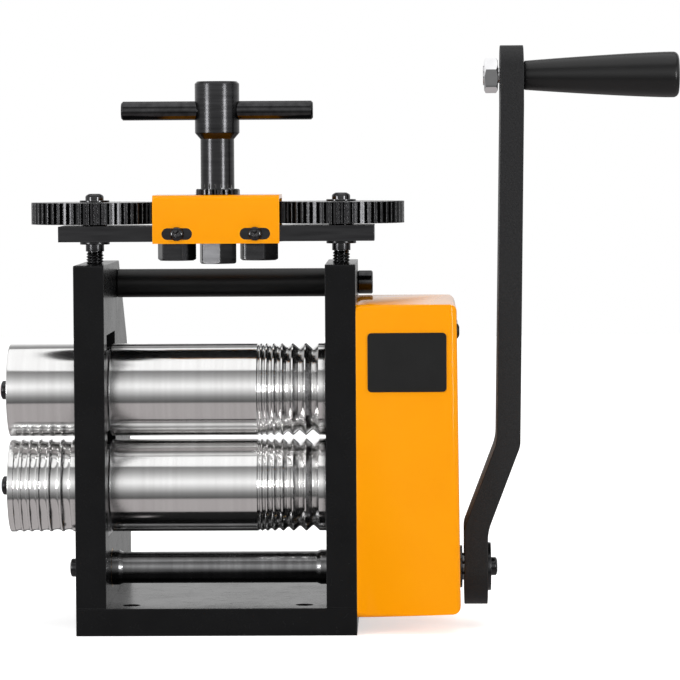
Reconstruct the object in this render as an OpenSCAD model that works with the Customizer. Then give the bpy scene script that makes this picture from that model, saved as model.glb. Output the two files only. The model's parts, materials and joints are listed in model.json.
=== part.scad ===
/* [Base] */
// Width of the base, and of the frame over both side plates
frame_w = 143; // [138:1:150]
// Depth of the base and of the foot of each side plate
base_d = 170; // [160:1:190]
// Thickness of the base
base_t = 14; // [10:0.5:15]
// Diameter of each bench bolt hole
bench_hole_d = 9; // [6:0.5:12]
// Spacing of the bench bolt holes from side to side
bench_hole_x = 88.8; // [60:0.2:92]
// Spacing of the bench bolt holes from front to back
bench_hole_y = 140; // [110:1:146]

/* [Side plates] */
// Thickness of each side plate
plate_t = 15.5; // [13:0.5:18]
// Height of each side plate above the base
plate_h = 174.5; // [170:0.5:185]
// Depth of the level top of each side plate
plate_top_d = 100; // [96:1:120]
// Height above the base at which the sloping back edge starts
plate_back_h = 114; // [90:1:130]
// Distance of the roll axes behind the front of the side plates
roll_setback = 42; // [42:0.5:46]
// Width of each bearing window from front to back
window_d = 54; // [50:0.5:58]
// Diameter of the tie bar between the side plates
tie_bar_d = 15; // [12:0.5:18]
// Distance of the tie bar behind the front of the side plates
tie_bar_setback = 90; // [84:1:92]
// Diameter of the screws that hold the frame together
frame_screw_d = 8; // [6:0.5:9]

/* [Rolls] */
// Diameter of every roll
roll_d = 48; // [46:0.5:50]
// Gap between the rolls at rest
roll_gap = 1.6; // [0.8:0.1:3]
// Greatest gap between the rolls
roll_gap_max = 7; // [5:0.5:8]
// Diameter of the roll journals in their bushes
journal_d = 25; // [22:0.5:27]
// Diameter of the shaft ends that carry gears and outboard rolls
stub_d = 20; // [16:0.5:21]
// Wall of the bronze bushes of the rolls
bush_wall = 3; // [2:0.5:4]
// Length of each outboard roll
outboard_l = 35.7; // [33:0.1:40]
// Widths of the square wire grooves, from the crank side
wire_groove_ws = [6.5, 5.9, 4.7, 3.6, 3, 2.1, 1.7];
// Land between neighbouring square wire grooves
wire_groove_land = 0.7; // [0.3:0.1:1.5]
// Land between the widest square wire groove and the roll's end
wire_end_land = 3.7; // [2:0.1:8]
// Widths of the half round grooves, from the free end
round_groove_ws = [3.3, 3.3, 4, 4.3, 5.2, 5.1];
// Land between neighbouring half round grooves
round_groove_land = 0.9; // [0.3:0.1:1.4]
// Land between the free end and the first half round groove
round_end_land = 2.8; // [1:0.1:3.2]

/* [Drive] */
// Height of the crank shaft above the bench
crank_z = 30.5; // [28:0.5:32]
// Diameter of the crank shaft between the side plates
crank_shaft_d = 16.4; // [15.4:0.1:17]
// Diameter of the two collars on the crank shaft
crank_collar_d = 18; // [17.5:0.5:20]
// Diameter of the crank shaft in its bushes
crank_journal_d = 15; // [13:0.5:15]
// Tooth size, as pitch diameter per tooth, of the drive gears
drive_module = 2; // [1.9:0.05:2.05]
// Teeth of the pinion on the crank shaft
drive_pinion_teeth = 12; // [12:1:13]
// Teeth of the drive gear on the lower roll
drive_gear_teeth = 31; // [29:2:31]
// Teeth of each of the two gears that couple the rolls
coupling_teeth = 12; // [12:2:14]
// Width of each coupling gear
coupling_w = 18; // [12:1:19]
// Width of the drive gear and its pinion
drive_w = 16; // [10:1:17]

/* [Gear cover] */
// Width of the gear cover
cover_w = 52.8; // [52:0.1:58]
// Depth of the gear cover at the side plate
cover_d = 84; // [84:0.5:88]
// Height of the gear cover at the side plate
cover_h = 159.5; // [158:0.5:162]
// Height of the gear cover's lower edge above the bench
cover_z = 8.8; // [6:0.1:10]
// Wall of the gear cover
cover_wall = 3; // [2:0.5:3.5]
// How far each side of the gear cover draws in towards the crank
cover_draft = 1.6; // [0:0.1:2]
// Width of the plate on the front of the gear cover
label_w = 40; // [20:1:42]
// Height of the plate on the front of the gear cover
label_h = 30; // [15:1:40]
// Distance of that plate below the top of the gear cover
label_drop = 14.5; // [8:0.5:30]

/* [Crank] */
// Distance from the crank shaft to the grip's axis
crank_l = 253.9; // [200:0.1:300]
// Thickness of the crank arm
arm_t = 12; // [9:0.5:13]
// Half width of the crank arm around the shaft
arm_hub_r = 19.5; // [16:0.1:22]
// Half width of the crank arm around the handle bolt
arm_tip_r = 15.5; // [13:0.1:16]
// How far the bend carries the arm away from the frame
arm_offset = 16.8; // [14:0.1:24]
// How much further the arm leans away from the frame above the bend
arm_lean = 2.5; // [0:0.1:4]
// Distance above the shaft at which the bend starts
arm_bend_start = 22; // [20:1:40]
// Height over which the bend runs
arm_bend_h = 44; // [30:1:60]
// Length of the turning grip
grip_l = 79.6; // [70:0.1:100]
// Greatest diameter of the grip
grip_d = 23.5; // [22:0.5:30]
// Diameter of the grip where it meets the arm
grip_neck_d = 15; // [14:0.1:18]
// Diameter of the bolt on which the grip turns
handle_bolt_d = 10; // [8:0.5:10.5]

/* [Roll gap adjuster] */
// Length of the bridge bar
bar_w = 162; // [158:1:170]
// Depth of the bridge bar
bar_d = 40; // [36:0.5:44]
// Thickness of the bridge bar
bar_t = 8; // [6:0.5:10]
// Height of the bridge bar above the side plates
bar_clear = 11.5; // [11:0.5:14]
// Diameter of the adjusting screws
screw_d = 9; // [8:0.5:10.5]
// Teeth of the pinion on the T-handle, and of each idler
adjust_pinion_teeth = 17; // [17:2:19]
// Teeth of the large gear on each adjusting screw
adjust_gear_teeth = 51; // [49:2:51]
// Width of the large gears
adjust_gear_w = 11.2; // [9:0.1:12]
// Length of the orange cover over the idlers
hood_w = 65; // [62:0.5:70]
// Height of the orange cover over the idlers
hood_h = 24.8; // [24.6:0.1:28]
// Sheet thickness of the orange cover over the idlers
hood_t = 2; // [1:0.1:2]
// Diameter of the T-handle's spindle
spindle_d = 17.4; // [14:0.1:18]
// Length of the plain spindle above its pinion
spindle_l = 25.7; // [15:0.1:40]
// Diameter of the T-handle's hub
t_hub_d = 23; // [20:0.5:28]
// Height of the T-handle's hub
t_hub_h = 26.5; // [20:0.5:32]
// Diameter of the bar through the T-handle's hub
t_bar_d = 9.8; // [7:0.1:11]
// Length of the bar through the T-handle's hub
t_bar_l = 99; // [70:1:130]

/* [Return springs] */
// Outer diameter of each return spring
spring_d = 7.6; // [6:0.1:7.8]
// Wire diameter of the return springs
spring_wire_d = 1.2; // [0.8:0.1:1.3]
// Turns of each return spring
spring_turns = 5; // [4:1:6]

/* [Hidden] */
$fn = 96;

// Clearances: a turning fit, a piece held in place, a sliding side and a gap between turning faces
run_clear = 0.04;
held_clear = 0.02;
slide_clear = 0.15;
face_gap = 0.1;
// Cutting shapes run past the solid by this much
overrun = 1;

front_y = -base_d / 2;
roll_y = front_y + roll_setback;
outer_x = frame_w / 2;
inner_x = outer_x - plate_t;
screw_x = outer_x - plate_t / 2;
plate_top_z = base_t + plate_h;
lower_z = crank_z + drive_module * (drive_pinion_teeth + drive_gear_teeth) / 2;
upper_z = lower_z + roll_d + roll_gap;
lift_max = roll_gap_max - roll_gap;
tie_bar_z = plate_top_z - 0.79 * tie_bar_d;

// Window and bearing blocks
block_below = 24.5;
block_above = 20;
upper_block_above = 21;
window_floor_z = lower_z - block_below;
window_top_z = upper_z + upper_block_above + lift_max + 3 * overrun;
block_d = window_d - 2 * slide_clear;
bush_d = journal_d + 2 * bush_wall;
spring_pocket = 6;
spring_pocket_d = spring_d + 0.8 * overrun;
spring_inset = 6.8;
spring_y = block_d / 2 - spring_inset;
lower_block_top_z = lower_z + block_above;
upper_block_floor_z = upper_z - block_above;
block_top_z = upper_z + upper_block_above;

// Right hand drive, counted outwards from the side plate
roll_face_gap = 0.5;
roll_half = inner_x - roll_face_gap;
coupling_gap = 2.5;
coupling_x = outer_x + coupling_gap;
drive_gap = 1;
drive_x = coupling_x + coupling_w + drive_gap;
shaft_end_x = drive_x + drive_w;
shaft_inset = 0.5;
gear_washer_d = 28;
gear_washer_t = 2.5;
gear_screw_d = 8;
gear_screw_head_d = 14;
gear_screw_head_h = 4.4;
drive_hub_d = 28;
drive_angle = 25;
drive_addendum = 0.8 * drive_module;
drive_dedendum = 1.05 * drive_module;
coupling_module = roll_d / coupling_teeth;
coupling_angle = 28;
coupling_dedendum = 1.2 * coupling_module;
key_w = 6;
key_in_shaft = 3.4;
key_in_hub = 2.4;

// Left hand outboard rolls
outboard_gap = 1;
outboard_x = -outer_x - outboard_gap;
outboard_end_x = outboard_x - outboard_l;
outboard_screw_d = 6;
outboard_head_d = 9.7;
outboard_head_h = 5;
outboard_washer_d = 26;
outboard_washer_t = 2;
outboard_end_gap = 1;

// Crank side stations
cover_x = outer_x + cover_w;
cover_bush_flange_d = 22;
cover_bush_flange_t = 1.3;
arm_gap = 1;
arm_x = cover_x + cover_bush_flange_t + arm_gap;
arm_outer_x = arm_x + arm_t;
arm_bend_x = arm_x + arm_offset;
arm_top_x = arm_bend_x + arm_lean;
square_af = 10.6;
shaft_stub_d = 14;
pinion_bore_d = 13;
pinion_hub_d = 19.4;
pinion_hub_l = 8;
pinion_pin_d = 3;
crank_washer_d = 25;
crank_washer_t = 1.8;
button_head_d = 9.5;
button_head_h = 3.4;
button_screw_d = 6;
handle_z = crank_z + crank_l;
lock_nut_af = 16;
lock_nut_t = 7;
bolt_gap = 1.1;
grip_gap = 0.5;
grip_x = arm_top_x + arm_t + grip_gap;
bolt_head_d = 15;
bolt_head_h = 7;
bolt_recess = 9;

// Roll gap adjuster, counted upwards from the side plates
bar_z = plate_top_z + bar_clear;
bar_top_z = bar_z + bar_t;
adjust_module = screw_x / (adjust_pinion_teeth + (adjust_pinion_teeth + adjust_gear_teeth) / 2);
adjust_angle = 20;
adjust_addendum = 0.6 * adjust_module;
adjust_dedendum = 1.2 * adjust_module;
idler_x = adjust_module * adjust_pinion_teeth;
gear_hub_h = 1;
gear_hub_d = 13;
gear_z = bar_top_z + gear_hub_h;
gear_top_z = gear_z + adjust_gear_w;
idler_clear = 0.5;
idler_hub_d = 15;
hood_drop = 1;
hood_z = bar_z - hood_drop;
hood_top_z = hood_z + hood_h;
hood_d = bar_d + 2 * hood_t;
hood_corner_r = 3;
hood_screw_x = 20;
hood_slot_w = 15.6;
hood_slot_h = 6;
hood_screw_d = 4;
hood_head_d = 7.1;
hood_head_h = 2.4;
hood_hole_gap = 1;
pinion_rise = 3;
pinion_top_z = hood_top_z + pinion_rise;
hub_taper_h = 3.2;
t_hub_z = pinion_top_z + spindle_l + hub_taper_h;
t_bar_share = 0.434;
t_bar_z = t_hub_z + t_bar_share * t_hub_h;
hub_chamfer = 1.2;
spindle_shank_d = 12;
hex_af = 17;
hex_h = 8.3;
spindle_nut_h = 10;
idler_shank_d = 10;
flange_d = 15.4;
flange_t = 1.5;
screw_shank_d = 9.5;
gear_seat_d = 8.6;
gear_seat_af = 7.2;
top_washer_d = 15.4;
top_washer_t = 1;
top_screw_d = 4;

// Involute angle in degrees at radius r over a base circle
function involute(r, base_r) = let (a = acos(min(1, base_r / r))) tan(a) * 180 / PI - a;

// Radii at which a tooth flank is cut, from its root to its tip
flank_steps = 5;
function flank_radii(root_r, base_r, tip_r) =
    let (start_r = max(root_r, base_r))
    concat(root_r < base_r ? [root_r] : [],
           [for (j = [0:flank_steps]) start_r + (tip_r - start_r) * j / flank_steps]);

// Outline of a spur gear with one tooth centred on the first axis
function gear_points(size, teeth, angle, addendum, dedendum, backlash) =
    let (pitch_r = size * teeth / 2,
         base_r = pitch_r * cos(angle),
         middle = 90 / teeth - backlash / pitch_r * 90 / PI + involute(pitch_r, base_r),
         radii = flank_radii(pitch_r - dedendum, base_r, pitch_r + addendum),
         count = len(radii))
    [for (k = [0:teeth - 1], side = [-1, 1], j = [0:count - 1])
        let (r = radii[side < 0 ? j : count - 1 - j],
             a = 360 * k / teeth + side * (middle - involute(max(r, base_r), base_r)))
        r * [cos(a), sin(a)]];

// Outline with its corners rounded, each to its own radius
corner_steps = 5;
function rounded(points, radii) =
    let (n = len(points))
    [for (i = [0:n - 1])
        let (p = points[i], a = points[(i + n - 1) % n] - p, b = points[(i + 1) % n] - p,
             ua = a / norm(a), ub = b / norm(b), half = acos(ua * ub) / 2, r = radii[i])
        each (r <= 0 ? [p] :
            let (centre = p + (ua + ub) / norm(ua + ub) * r / sin(half),
                 from = p + ua * r / tan(half) - centre, to = p + ub * r / tan(half) - centre,
                 turn = cross(from, to) > 0 ? 1 : -1)
            [for (j = [0:corner_steps])
                let (a = turn * (180 - 2 * half) * j / corner_steps)
                centre + [from.x * cos(a) - from.y * sin(a), from.x * sin(a) + from.y * cos(a)]])];

function box_points(w, h) = [[-w / 2, -h / 2], [w / 2, -h / 2], [w / 2, h / 2], [-w / 2, h / 2]];

// Places children on a left to right axis at height z: their own third axis becomes the first
module on_axis(z, y = roll_y) translate([0, y, z]) rotate([0, 90, 0]) children();

// Round bar along the third axis from a to b
module rod(d, a, b) translate([0, 0, min(a, b)]) cylinder(d = d, h = abs(b - a));

// Round bar with a turned edge at both ends
module chamfered_rod(d, a, b, c) {
    lo = min(a, b);
    hi = max(a, b);
    rotate_extrude() polygon([[0, lo], [d / 2 - c, lo], [d / 2, lo + c], [d / 2, hi - c],
                              [d / 2 - c, hi], [0, hi]]);
}

// Places children on the tie bar's axis
module tie_axis() on_axis(tie_bar_z, front_y + tie_bar_setback) children();

// Outline in the depth and height plane, drawn out along the first axis from a to b
module along_x(a, b) translate([a, 0, 0]) rotate([90, 0, 90]) linear_extrude(b - a) children();

// Hexagon socket, af across its flats, from a to b
module hex_socket(af, a, b) translate([0, 0, a]) cylinder(d = af / cos(30), h = b - a, $fn = 6);

// Domed button head with a hexagon socket, standing on height a
head_socket_share = 0.42;
module button_head(d, h, a) {
    difference() {
        translate([0, 0, a]) rotate_extrude()
            polygon(concat([[0, 0], [d / 2, 0]],
                [for (j = [0:corner_steps]) let (t = 60 * j / corner_steps)
                    [d / 2 * cos(t), h * (0.25 + 0.75 * sin(t) / sin(60))]], [[0, h]]));
        hex_socket(head_socket_share * d, a + h / 2, a + h + overrun);
    }
}

// Round bar with two flats
module flatted(d, af, a, b) intersection() {
    rod(d, a, b);
    translate([-d, -af / 2, a]) cube([2 * d, af, b - a]);
}

// Square bar whose corners are turned down to a diameter
module turned_square(d, af, a, b) intersection() {
    rod(d, a, b);
    translate([-af / 2, -af / 2, a]) cube([af, af, b - a]);
}

// Parallel key beside a shaft of diameter d, or its slot when clear is given
module key(d, a, b, clear = 0) translate([-key_w / 2, d / 2 - key_in_shaft, a])
    cube([key_w, key_in_shaft + key_in_hub + clear, b - a]);

// Spur gear along the third axis with a keyed bore
module keyed_gear(points, turn, a, b, bore_d) difference() {
    translate([0, 0, a]) linear_extrude(b - a) rotate(turn) polygon(points);
    rod(bore_d, a - overrun, b + overrun);
    key(stub_d, a - overrun, b + overrun, held_clear);
}

// Frame

module base_plate() color([0.16, 0.16, 0.17]) difference() {
    edge = 0.03 * base_t;
    translate([-outer_x, front_y, 0]) cube([frame_w, base_d, base_t]);
    for (x = [-1, 1], y = [-1, 1])
        translate([x * bench_hole_x / 2, y * bench_hole_y / 2, -overrun])
            cylinder(d = bench_hole_d, h = base_t + 2 * overrun);
    foot_screws() {
        translate([0, 0, -overrun]) cylinder(d = frame_screw_d + 2 * held_clear, h = base_t + 2 * overrun);
        translate([0, 0, -overrun]) cylinder(d = foot_recess_d, h = foot_recess + overrun);
    }
    for (y = [-1, 1]) translate([0, y * base_d / 2, base_t]) rotate([45, 0, 0])
        cube([frame_w + 2 * overrun, edge, edge], center = true);
}

foot_head_d = 1.65 * frame_screw_d;
foot_head_h = 0.6 * frame_screw_d;
foot_recess_d = foot_head_d + 0.1 * frame_screw_d;
foot_recess = foot_head_h + 0.1 * frame_screw_d;
foot_screw_ys = [front_y + 0.13 * base_d, -front_y - 0.13 * base_d];
module foot_screws() for (x = [-1, 1], y = foot_screw_ys) translate([x * screw_x, y, 0]) children();

module side_plate_screws() color([0.1, 0.1, 0.1]) foot_screws() {
    reach = 1.5 * frame_screw_d;
    difference() {
        translate([0, 0, foot_recess - foot_head_h]) cylinder(d = foot_head_d, h = foot_head_h);
        hex_socket(0.7 * frame_screw_d, -overrun, foot_recess - foot_head_h / 2);
    }
    translate([0, 0, foot_recess]) cylinder(d = frame_screw_d, h = base_t - foot_recess + reach);
}

// One side plate from its inner to its outer face; right_hand adds the gear cover's screw holes
module side_plate(a, b) difference() {
    r = 0.1 * plate_t;
    along_x(a, b) polygon(rounded(
        [[front_y, base_t], [-front_y, base_t], [-front_y, base_t + plate_back_h],
         [front_y + plate_top_d, plate_top_z], [front_y, plate_top_z]], [0, 0, 2 * r, 2 * r, r]));
    translate([a - overrun, roll_y - window_d / 2, window_floor_z])
        cube([b - a + 2 * overrun, window_d, window_top_z - window_floor_z]);
    on_axis(crank_z) rod(crank_bush_d + 2 * held_clear, a - overrun, b + overrun);
    tie_axis() rod(frame_screw_d + 2 * held_clear, a - overrun, b + overrun);
    translate([(a + b) / 2, roll_y, window_top_z - overrun])
        cylinder(d = screw_d + 2 * run_clear, h = plate_top_z - window_top_z + 2 * overrun);
    foot_screws() translate([0, 0, base_t - overrun])
        cylinder(d = frame_screw_d + 2 * held_clear, h = 1.7 * frame_screw_d + overrun);
}

crank_bush_wall = 2.5;
crank_bush_d = crank_journal_d + 2 * crank_bush_wall;
tie_recess_d = 1.8 * frame_screw_d;
tie_recess = frame_screw_d;

module left_side_plate() color([0.16, 0.16, 0.17]) difference() {
    side_plate(-outer_x, -inner_x);
    tie_axis() rod(tie_recess_d, -outer_x - overrun, -outer_x + tie_recess);
}

module right_side_plate() color([0.16, 0.16, 0.17]) difference() {
    side_plate(inner_x, outer_x);
    cover_screw_places() rod(cover_screw_d + 2 * held_clear, inner_x - overrun, outer_x + overrun);
}

module tie_bar() color([0.55, 0.55, 0.57]) difference() {
    tie_axis() chamfered_rod(tie_bar_d, -inner_x, inner_x, 0.03 * tie_bar_d);
    tie_axis() for (s = [-1, 1])
        rod(frame_screw_d + 2 * held_clear, s * (inner_x - tie_thread), s * (inner_x + overrun));
}

tie_thread = 2.5 * frame_screw_d;
tie_head_d = 1.55 * frame_screw_d;
module tie_bar_screws() color([0.1, 0.1, 0.1]) tie_axis() {
    socket = 0.75 * frame_screw_d;
    screw_end = inner_x - 0.8 * tie_thread;
    rod(frame_screw_d, screw_end, outer_x);
    difference() {
        chamfered_rod(tie_head_d, outer_x, outer_x + frame_screw_d, 0.08 * frame_screw_d);
        hex_socket(socket, outer_x + frame_screw_d / 2, outer_x + frame_screw_d + overrun);
    }
    rod(frame_screw_d, -screw_end, -outer_x + tie_recess);
    difference() {
        rod(tie_head_d, -outer_x + tie_recess, -outer_x + 0.05 * frame_screw_d);
        hex_socket(socket, -outer_x - overrun, -outer_x + tie_recess / 2);
    }
}

// Bearing block between heights z0 and z1 around a bush at height z
module bearing_block(a, b, z0, z1, z, pocket_z) difference() {
    translate([a, roll_y - block_d / 2, z0]) cube([b - a, block_d, z1 - z0]);
    on_axis(z) rod(bush_d + 2 * held_clear, a - overrun, b + overrun);
    for (y = [-1, 1]) translate([(a + b) / 2, roll_y + y * spring_y, pocket_z])
        cylinder(d = spring_pocket_d, h = spring_pocket + overrun);
}

module lower_block(a, b) color([0.45, 0.45, 0.47])
    bearing_block(a, b, window_floor_z, lower_block_top_z, lower_z, lower_block_top_z - spring_pocket);
module upper_block(a, b) color([0.45, 0.45, 0.47])
    bearing_block(a, b, upper_block_floor_z, block_top_z, upper_z, upper_block_floor_z - overrun);

module lower_block_left() lower_block(-outer_x, -inner_x);
module lower_block_right() lower_block(inner_x, outer_x);
module upper_block_left() upper_block(-outer_x, -inner_x);
module upper_block_right() upper_block(inner_x, outer_x);

module bush_pair(z, d, bore_d) color([0.72, 0.55, 0.3]) on_axis(z) for (s = [-1, 1]) difference() {
    rod(d, s * inner_x, s * outer_x);
    rod(bore_d, s * (inner_x - overrun), s * (outer_x + overrun));
}
module lower_roll_bushes() bush_pair(lower_z, bush_d, journal_d + 2 * run_clear);
module upper_roll_bushes() bush_pair(upper_z, bush_d, journal_d + 2 * run_clear);
module crank_shaft_bushes() bush_pair(crank_z, crank_bush_d, crank_journal_d + 2 * run_clear);

// Return springs: a wire tube whose two ends stand straight up for one wire diameter
spring_z = lower_block_top_z - spring_pocket + face_gap;
spring_h = upper_block_floor_z + spring_pocket - face_gap - spring_z;
spring_r = (spring_d - spring_wire_d) / 2;
rings_per_turn = 8;
wire_sides = 6;
function spring_angle(t) = 360 * spring_turns * t;
function spring_centre(t) = [spring_r * cos(spring_angle(t)), spring_r * sin(spring_angle(t)),
                             spring_wire_d + (spring_h - 2 * spring_wire_d) * t];
coil_rise = spring_h - 2 * spring_wire_d;
coil_slope = atan(coil_rise / (2 * PI * spring_r * spring_turns));
function wire_ring(centre, angle, slope) =
    [for (k = [0:wire_sides - 1])
        let (a = 360 * k / wire_sides, out = [cos(angle), sin(angle), 0],
             up = [-sin(angle) * sin(slope), cos(angle) * sin(slope), -cos(slope)])
        centre + spring_wire_d / 2 * (cos(a) * out + sin(a) * up)];
function wire_rings() =
    let (steps = rings_per_turn * spring_turns,
         first = spring_centre(0), last = spring_centre(1), end_angle = spring_angle(1),
         corner = (90 + coil_slope) / 2)
    concat([wire_ring([first.x, first.y, 0], 0, 90), wire_ring(first, 0, corner)],
           [for (i = [1:steps - 1]) wire_ring(spring_centre(i / steps), spring_angle(i / steps), coil_slope)],
           [wire_ring(last, end_angle, corner),
            wire_ring([last.x, last.y, spring_h], end_angle, 90)]);
module spring() {
    rings = wire_rings();
    n = len(rings);
    side_faces = [for (i = [0:n - 2], k = [0:wire_sides - 1])
        let (a = i * wire_sides + k, b = i * wire_sides + (k + 1) % wire_sides)
        each [[a, b, b + wire_sides], [a, b + wire_sides, a + wire_sides]]];
    first_cap = [for (k = [1:wire_sides - 2]) [0, k + 1, k]];
    last = (n - 1) * wire_sides;
    last_cap = [for (k = [1:wire_sides - 2]) [last, last + k, last + k + 1]];
    polyhedron([for (r = rings) each r], concat(side_faces, first_cap, last_cap));
}
// Least gap between neighbouring curls, measured on the curls' centre points
echo(least_spring_gap = min([for (i = [0:rings_per_turn * (spring_turns - 1)])
    norm(spring_centre((i + rings_per_turn) / (rings_per_turn * spring_turns))
         - spring_centre(i / (rings_per_turn * spring_turns))) - spring_wire_d]));

module return_springs() color([0.6, 0.6, 0.62])
    for (x = [-1, 1], y = [-1, 1]) translate([x * screw_x, roll_y + y * spring_y, spring_z]) spring();

// Gear cover

cover_screw_d = 5;
cover_post_d = 12;
cover_corner_r = 4;
cover_screw_y = cover_d / 2 - cover_wall - cover_post_d / 2;
cover_screw_up = 16;
cover_screw_down = 14;
cover_screw_low_z = cover_z + cover_screw_up;
cover_screw_high_z = cover_z + cover_h - cover_screw_down;
module cover_screw_places() for (y = [-1, 1], z = [cover_screw_low_z, cover_screw_high_z])
    on_axis(z, roll_y + y * cover_screw_y) children();

// Cover body drawn in by inset on every side but the one at the side plate, where it starts at a:
// what its front, top and end outlines have in common
module cover_body(inset, a) {
    far_x = cover_x - inset;
    half_d = cover_d / 2 - inset;
    half_h = cover_h / 2 - inset;
    mid_z = cover_z + cover_h / 2;
    r = cover_corner_r - inset / 2;
    radii = [0, r, r, 0];
    intersection() {
        along_x(a, far_x) translate([roll_y, mid_z])
            polygon(rounded(box_points(2 * half_d, 2 * half_h), [r, r, r, r]));
        translate([0, roll_y, mid_z - cover_h]) linear_extrude(2 * cover_h)
            polygon(rounded(drafted_outline(a, far_x, half_d), radii));
        translate([0, roll_y + cover_d, mid_z]) rotate([90, 0, 0]) linear_extrude(2 * cover_d)
            polygon(rounded(drafted_outline(a, far_x, half_h), radii));
    }
}

// Outline from a to b whose half height draws in by the cover's draft towards b
function drafted_outline(a, b, half) =
    let (grow = cover_draft * (outer_x - a) / cover_w)
    [[a, -half - grow], [b, cover_draft - half], [b, half - cover_draft], [a, half + grow]];

module gear_cover() color([1, 0.62, 0.1]) difference() {
    union() {
        difference() {
            cover_body(0, outer_x);
            cover_body(cover_wall, outer_x - overrun);
        }
        cover_screw_places() rod(cover_post_d, outer_x, cover_x - cover_wall / 2);
        on_axis(crank_z) rod(cover_boss_d, cover_x - cover_bush_l, cover_x - cover_wall / 2);
    }
    cover_screw_places() {
        rod(cover_screw_d + 2 * held_clear, outer_x - overrun, cover_x + overrun);
        rod(cover_head_d + 0.08 * cover_screw_d, cover_x - cover_head_recess, cover_x + overrun);
    }
    on_axis(crank_z) rod(cover_bush_d + 2 * held_clear, outer_x, cover_x + overrun);
}

cover_bush_wall = 2.5;
cover_bush_d = shaft_stub_d + 2 * cover_bush_wall;
cover_boss_wall = 2;
cover_boss_d = cover_bush_d + 2 * cover_boss_wall;
cover_bush_l = 10;
cover_head_d = 1.75 * cover_screw_d;
cover_head_h = 0.55 * cover_screw_d;
cover_head_recess = cover_head_h + 0.05 * cover_screw_d;
module gear_cover_screws() color([0.1, 0.1, 0.1]) cover_screw_places() {
    seat = cover_x - cover_head_recess;
    rod(cover_screw_d, outer_x - 0.8 * plate_t, seat);
    button_head(cover_head_d, cover_head_h, seat);
}

module cover_bush() color([0.5, 0.5, 0.52]) on_axis(crank_z) difference() {
    union() {
        rod(cover_bush_d, cover_x - cover_bush_l, cover_x + cover_bush_flange_t / 2);
        rod(cover_bush_flange_d, cover_x, cover_x + cover_bush_flange_t);
    }
    rod(shaft_stub_d + 2 * run_clear, outer_x, cover_x + cover_bush_flange_t + overrun);
}

label_t = 0.6;
label_r = 2;
label_shift = 0.5;
// The plate leans with the drafted face that it lies on
module cover_plate() color([0.08, 0.08, 0.08]) {
    slope = atan(cover_draft / cover_w);
    face_y = roll_y - cover_d / 2 + cover_draft / 2;
    middle_z = cover_z + cover_h - label_drop - label_h / 2;
    translate([outer_x + cover_w / 2 - label_shift, face_y - held_clear, middle_z])
        rotate([90, 0, slope]) linear_extrude(label_t)
            polygon(rounded(box_points(label_w, label_h), [label_r, label_r, label_r, label_r]));
}

// Crank

shaft_left_reach = 1.5;
shaft_left_x = -outer_x - shaft_left_reach;
module crank_shaft() color([0.5, 0.5, 0.52]) difference() {
    collar_l = 3.8;
    taper_l = 2;
    journal_reach = 3;
    on_axis(crank_z) {
        rod(crank_journal_d, shaft_left_x, outer_x + journal_reach);
        rod(shaft_stub_d, outer_x, arm_x);
        turned_square(shaft_stub_d, square_af, arm_x - overrun, arm_outer_x - shaft_inset);
        rod(crank_shaft_d, -inner_x + collar_l, inner_x - collar_l);
        for (s = [-1, 1]) scale([1, 1, s]) rotate_extrude() polygon([
            [0, inner_x - collar_l - taper_l], [crank_shaft_d / 2, inner_x - collar_l - taper_l],
            [crank_collar_d / 2, inner_x - collar_l], [crank_collar_d / 2, inner_x - face_gap],
            [0, inner_x - face_gap]]);
    }
    on_axis(crank_z) {
        rod(button_screw_d + 2 * held_clear, shaft_left_x - overrun, shaft_left_x + 3 * button_screw_d);
        rod(button_screw_d + 2 * held_clear, arm_outer_x + overrun, arm_outer_x - 3 * button_screw_d);
        pin_axis() rod(pinion_pin_d + 2 * held_clear, -crank_shaft_d, crank_shaft_d);
    }
}

module pin_axis() translate([0, 0, drive_x - pinion_hub_l / 2]) rotate([90, 0, 0]) children();
module crank_pinion() color([0.45, 0.45, 0.47]) on_axis(crank_z) difference() {
    union() {
        translate([0, 0, drive_x]) linear_extrude(drive_w) polygon(gear_points(
            drive_module, drive_pinion_teeth, drive_angle, drive_addendum, drive_dedendum, drive_backlash));
        rod(pinion_hub_d, drive_x - pinion_hub_l, drive_x + drive_w / 2);
    }
    rod(shaft_stub_d + 2 * held_clear, drive_x - pinion_hub_l - overrun, drive_x + drive_w + overrun);
    pin_axis() rod(pinion_pin_d + 2 * held_clear, -pinion_hub_d, pinion_hub_d);
}
drive_backlash = 0.08 * drive_module;

module pinion_pin() color([0.6, 0.6, 0.62]) on_axis(crank_z) pin_axis()
    rod(pinion_pin_d, -0.48 * pinion_hub_d, 0.48 * pinion_hub_d);

module crank_shaft_end_screw() color([0.1, 0.1, 0.1]) on_axis(crank_z) mirror([0, 0, 1]) {
    washer_t = 1.5;
    difference() {
        rod(1.2 * crank_journal_d, -shaft_left_x, -shaft_left_x + washer_t);
        rod(button_screw_d + 2 * held_clear, -shaft_left_x - overrun, -shaft_left_x + washer_t + overrun);
    }
    rod(button_screw_d, -shaft_left_x - 2 * button_screw_d, -shaft_left_x + washer_t);
    button_head(button_head_d, button_head_h, -shaft_left_x + washer_t);
}

// Side outline of the bent arm, thickened evenly through both bends; above them it leans a little
// outwards up to its round end, which stands upright
module arm_side_outline() {
    bend = atan(arm_offset / arm_bend_h);
    tuck = arm_t * tan(bend / 2);
    z1 = crank_z + arm_bend_start;
    z2 = z1 + arm_bend_h;
    z3 = handle_z - arm_tip_r;
    low = crank_z - arm_hub_r;
    high = handle_z + arm_tip_r;
    r = arm_t;
    polygon(rounded([[arm_x, low], [arm_outer_x, low], [arm_outer_x, z1 - tuck],
                     [arm_bend_x + arm_t, z2 - tuck], [arm_top_x + arm_t, z3], [arm_top_x + arm_t, high],
                     [arm_top_x, high], [arm_top_x, z3], [arm_bend_x, z2], [arm_x, z1]],
                    [0, 0, 2 * r, r, 2 * r, 0, 0, 2 * r, 2 * r, r]));
}

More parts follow.
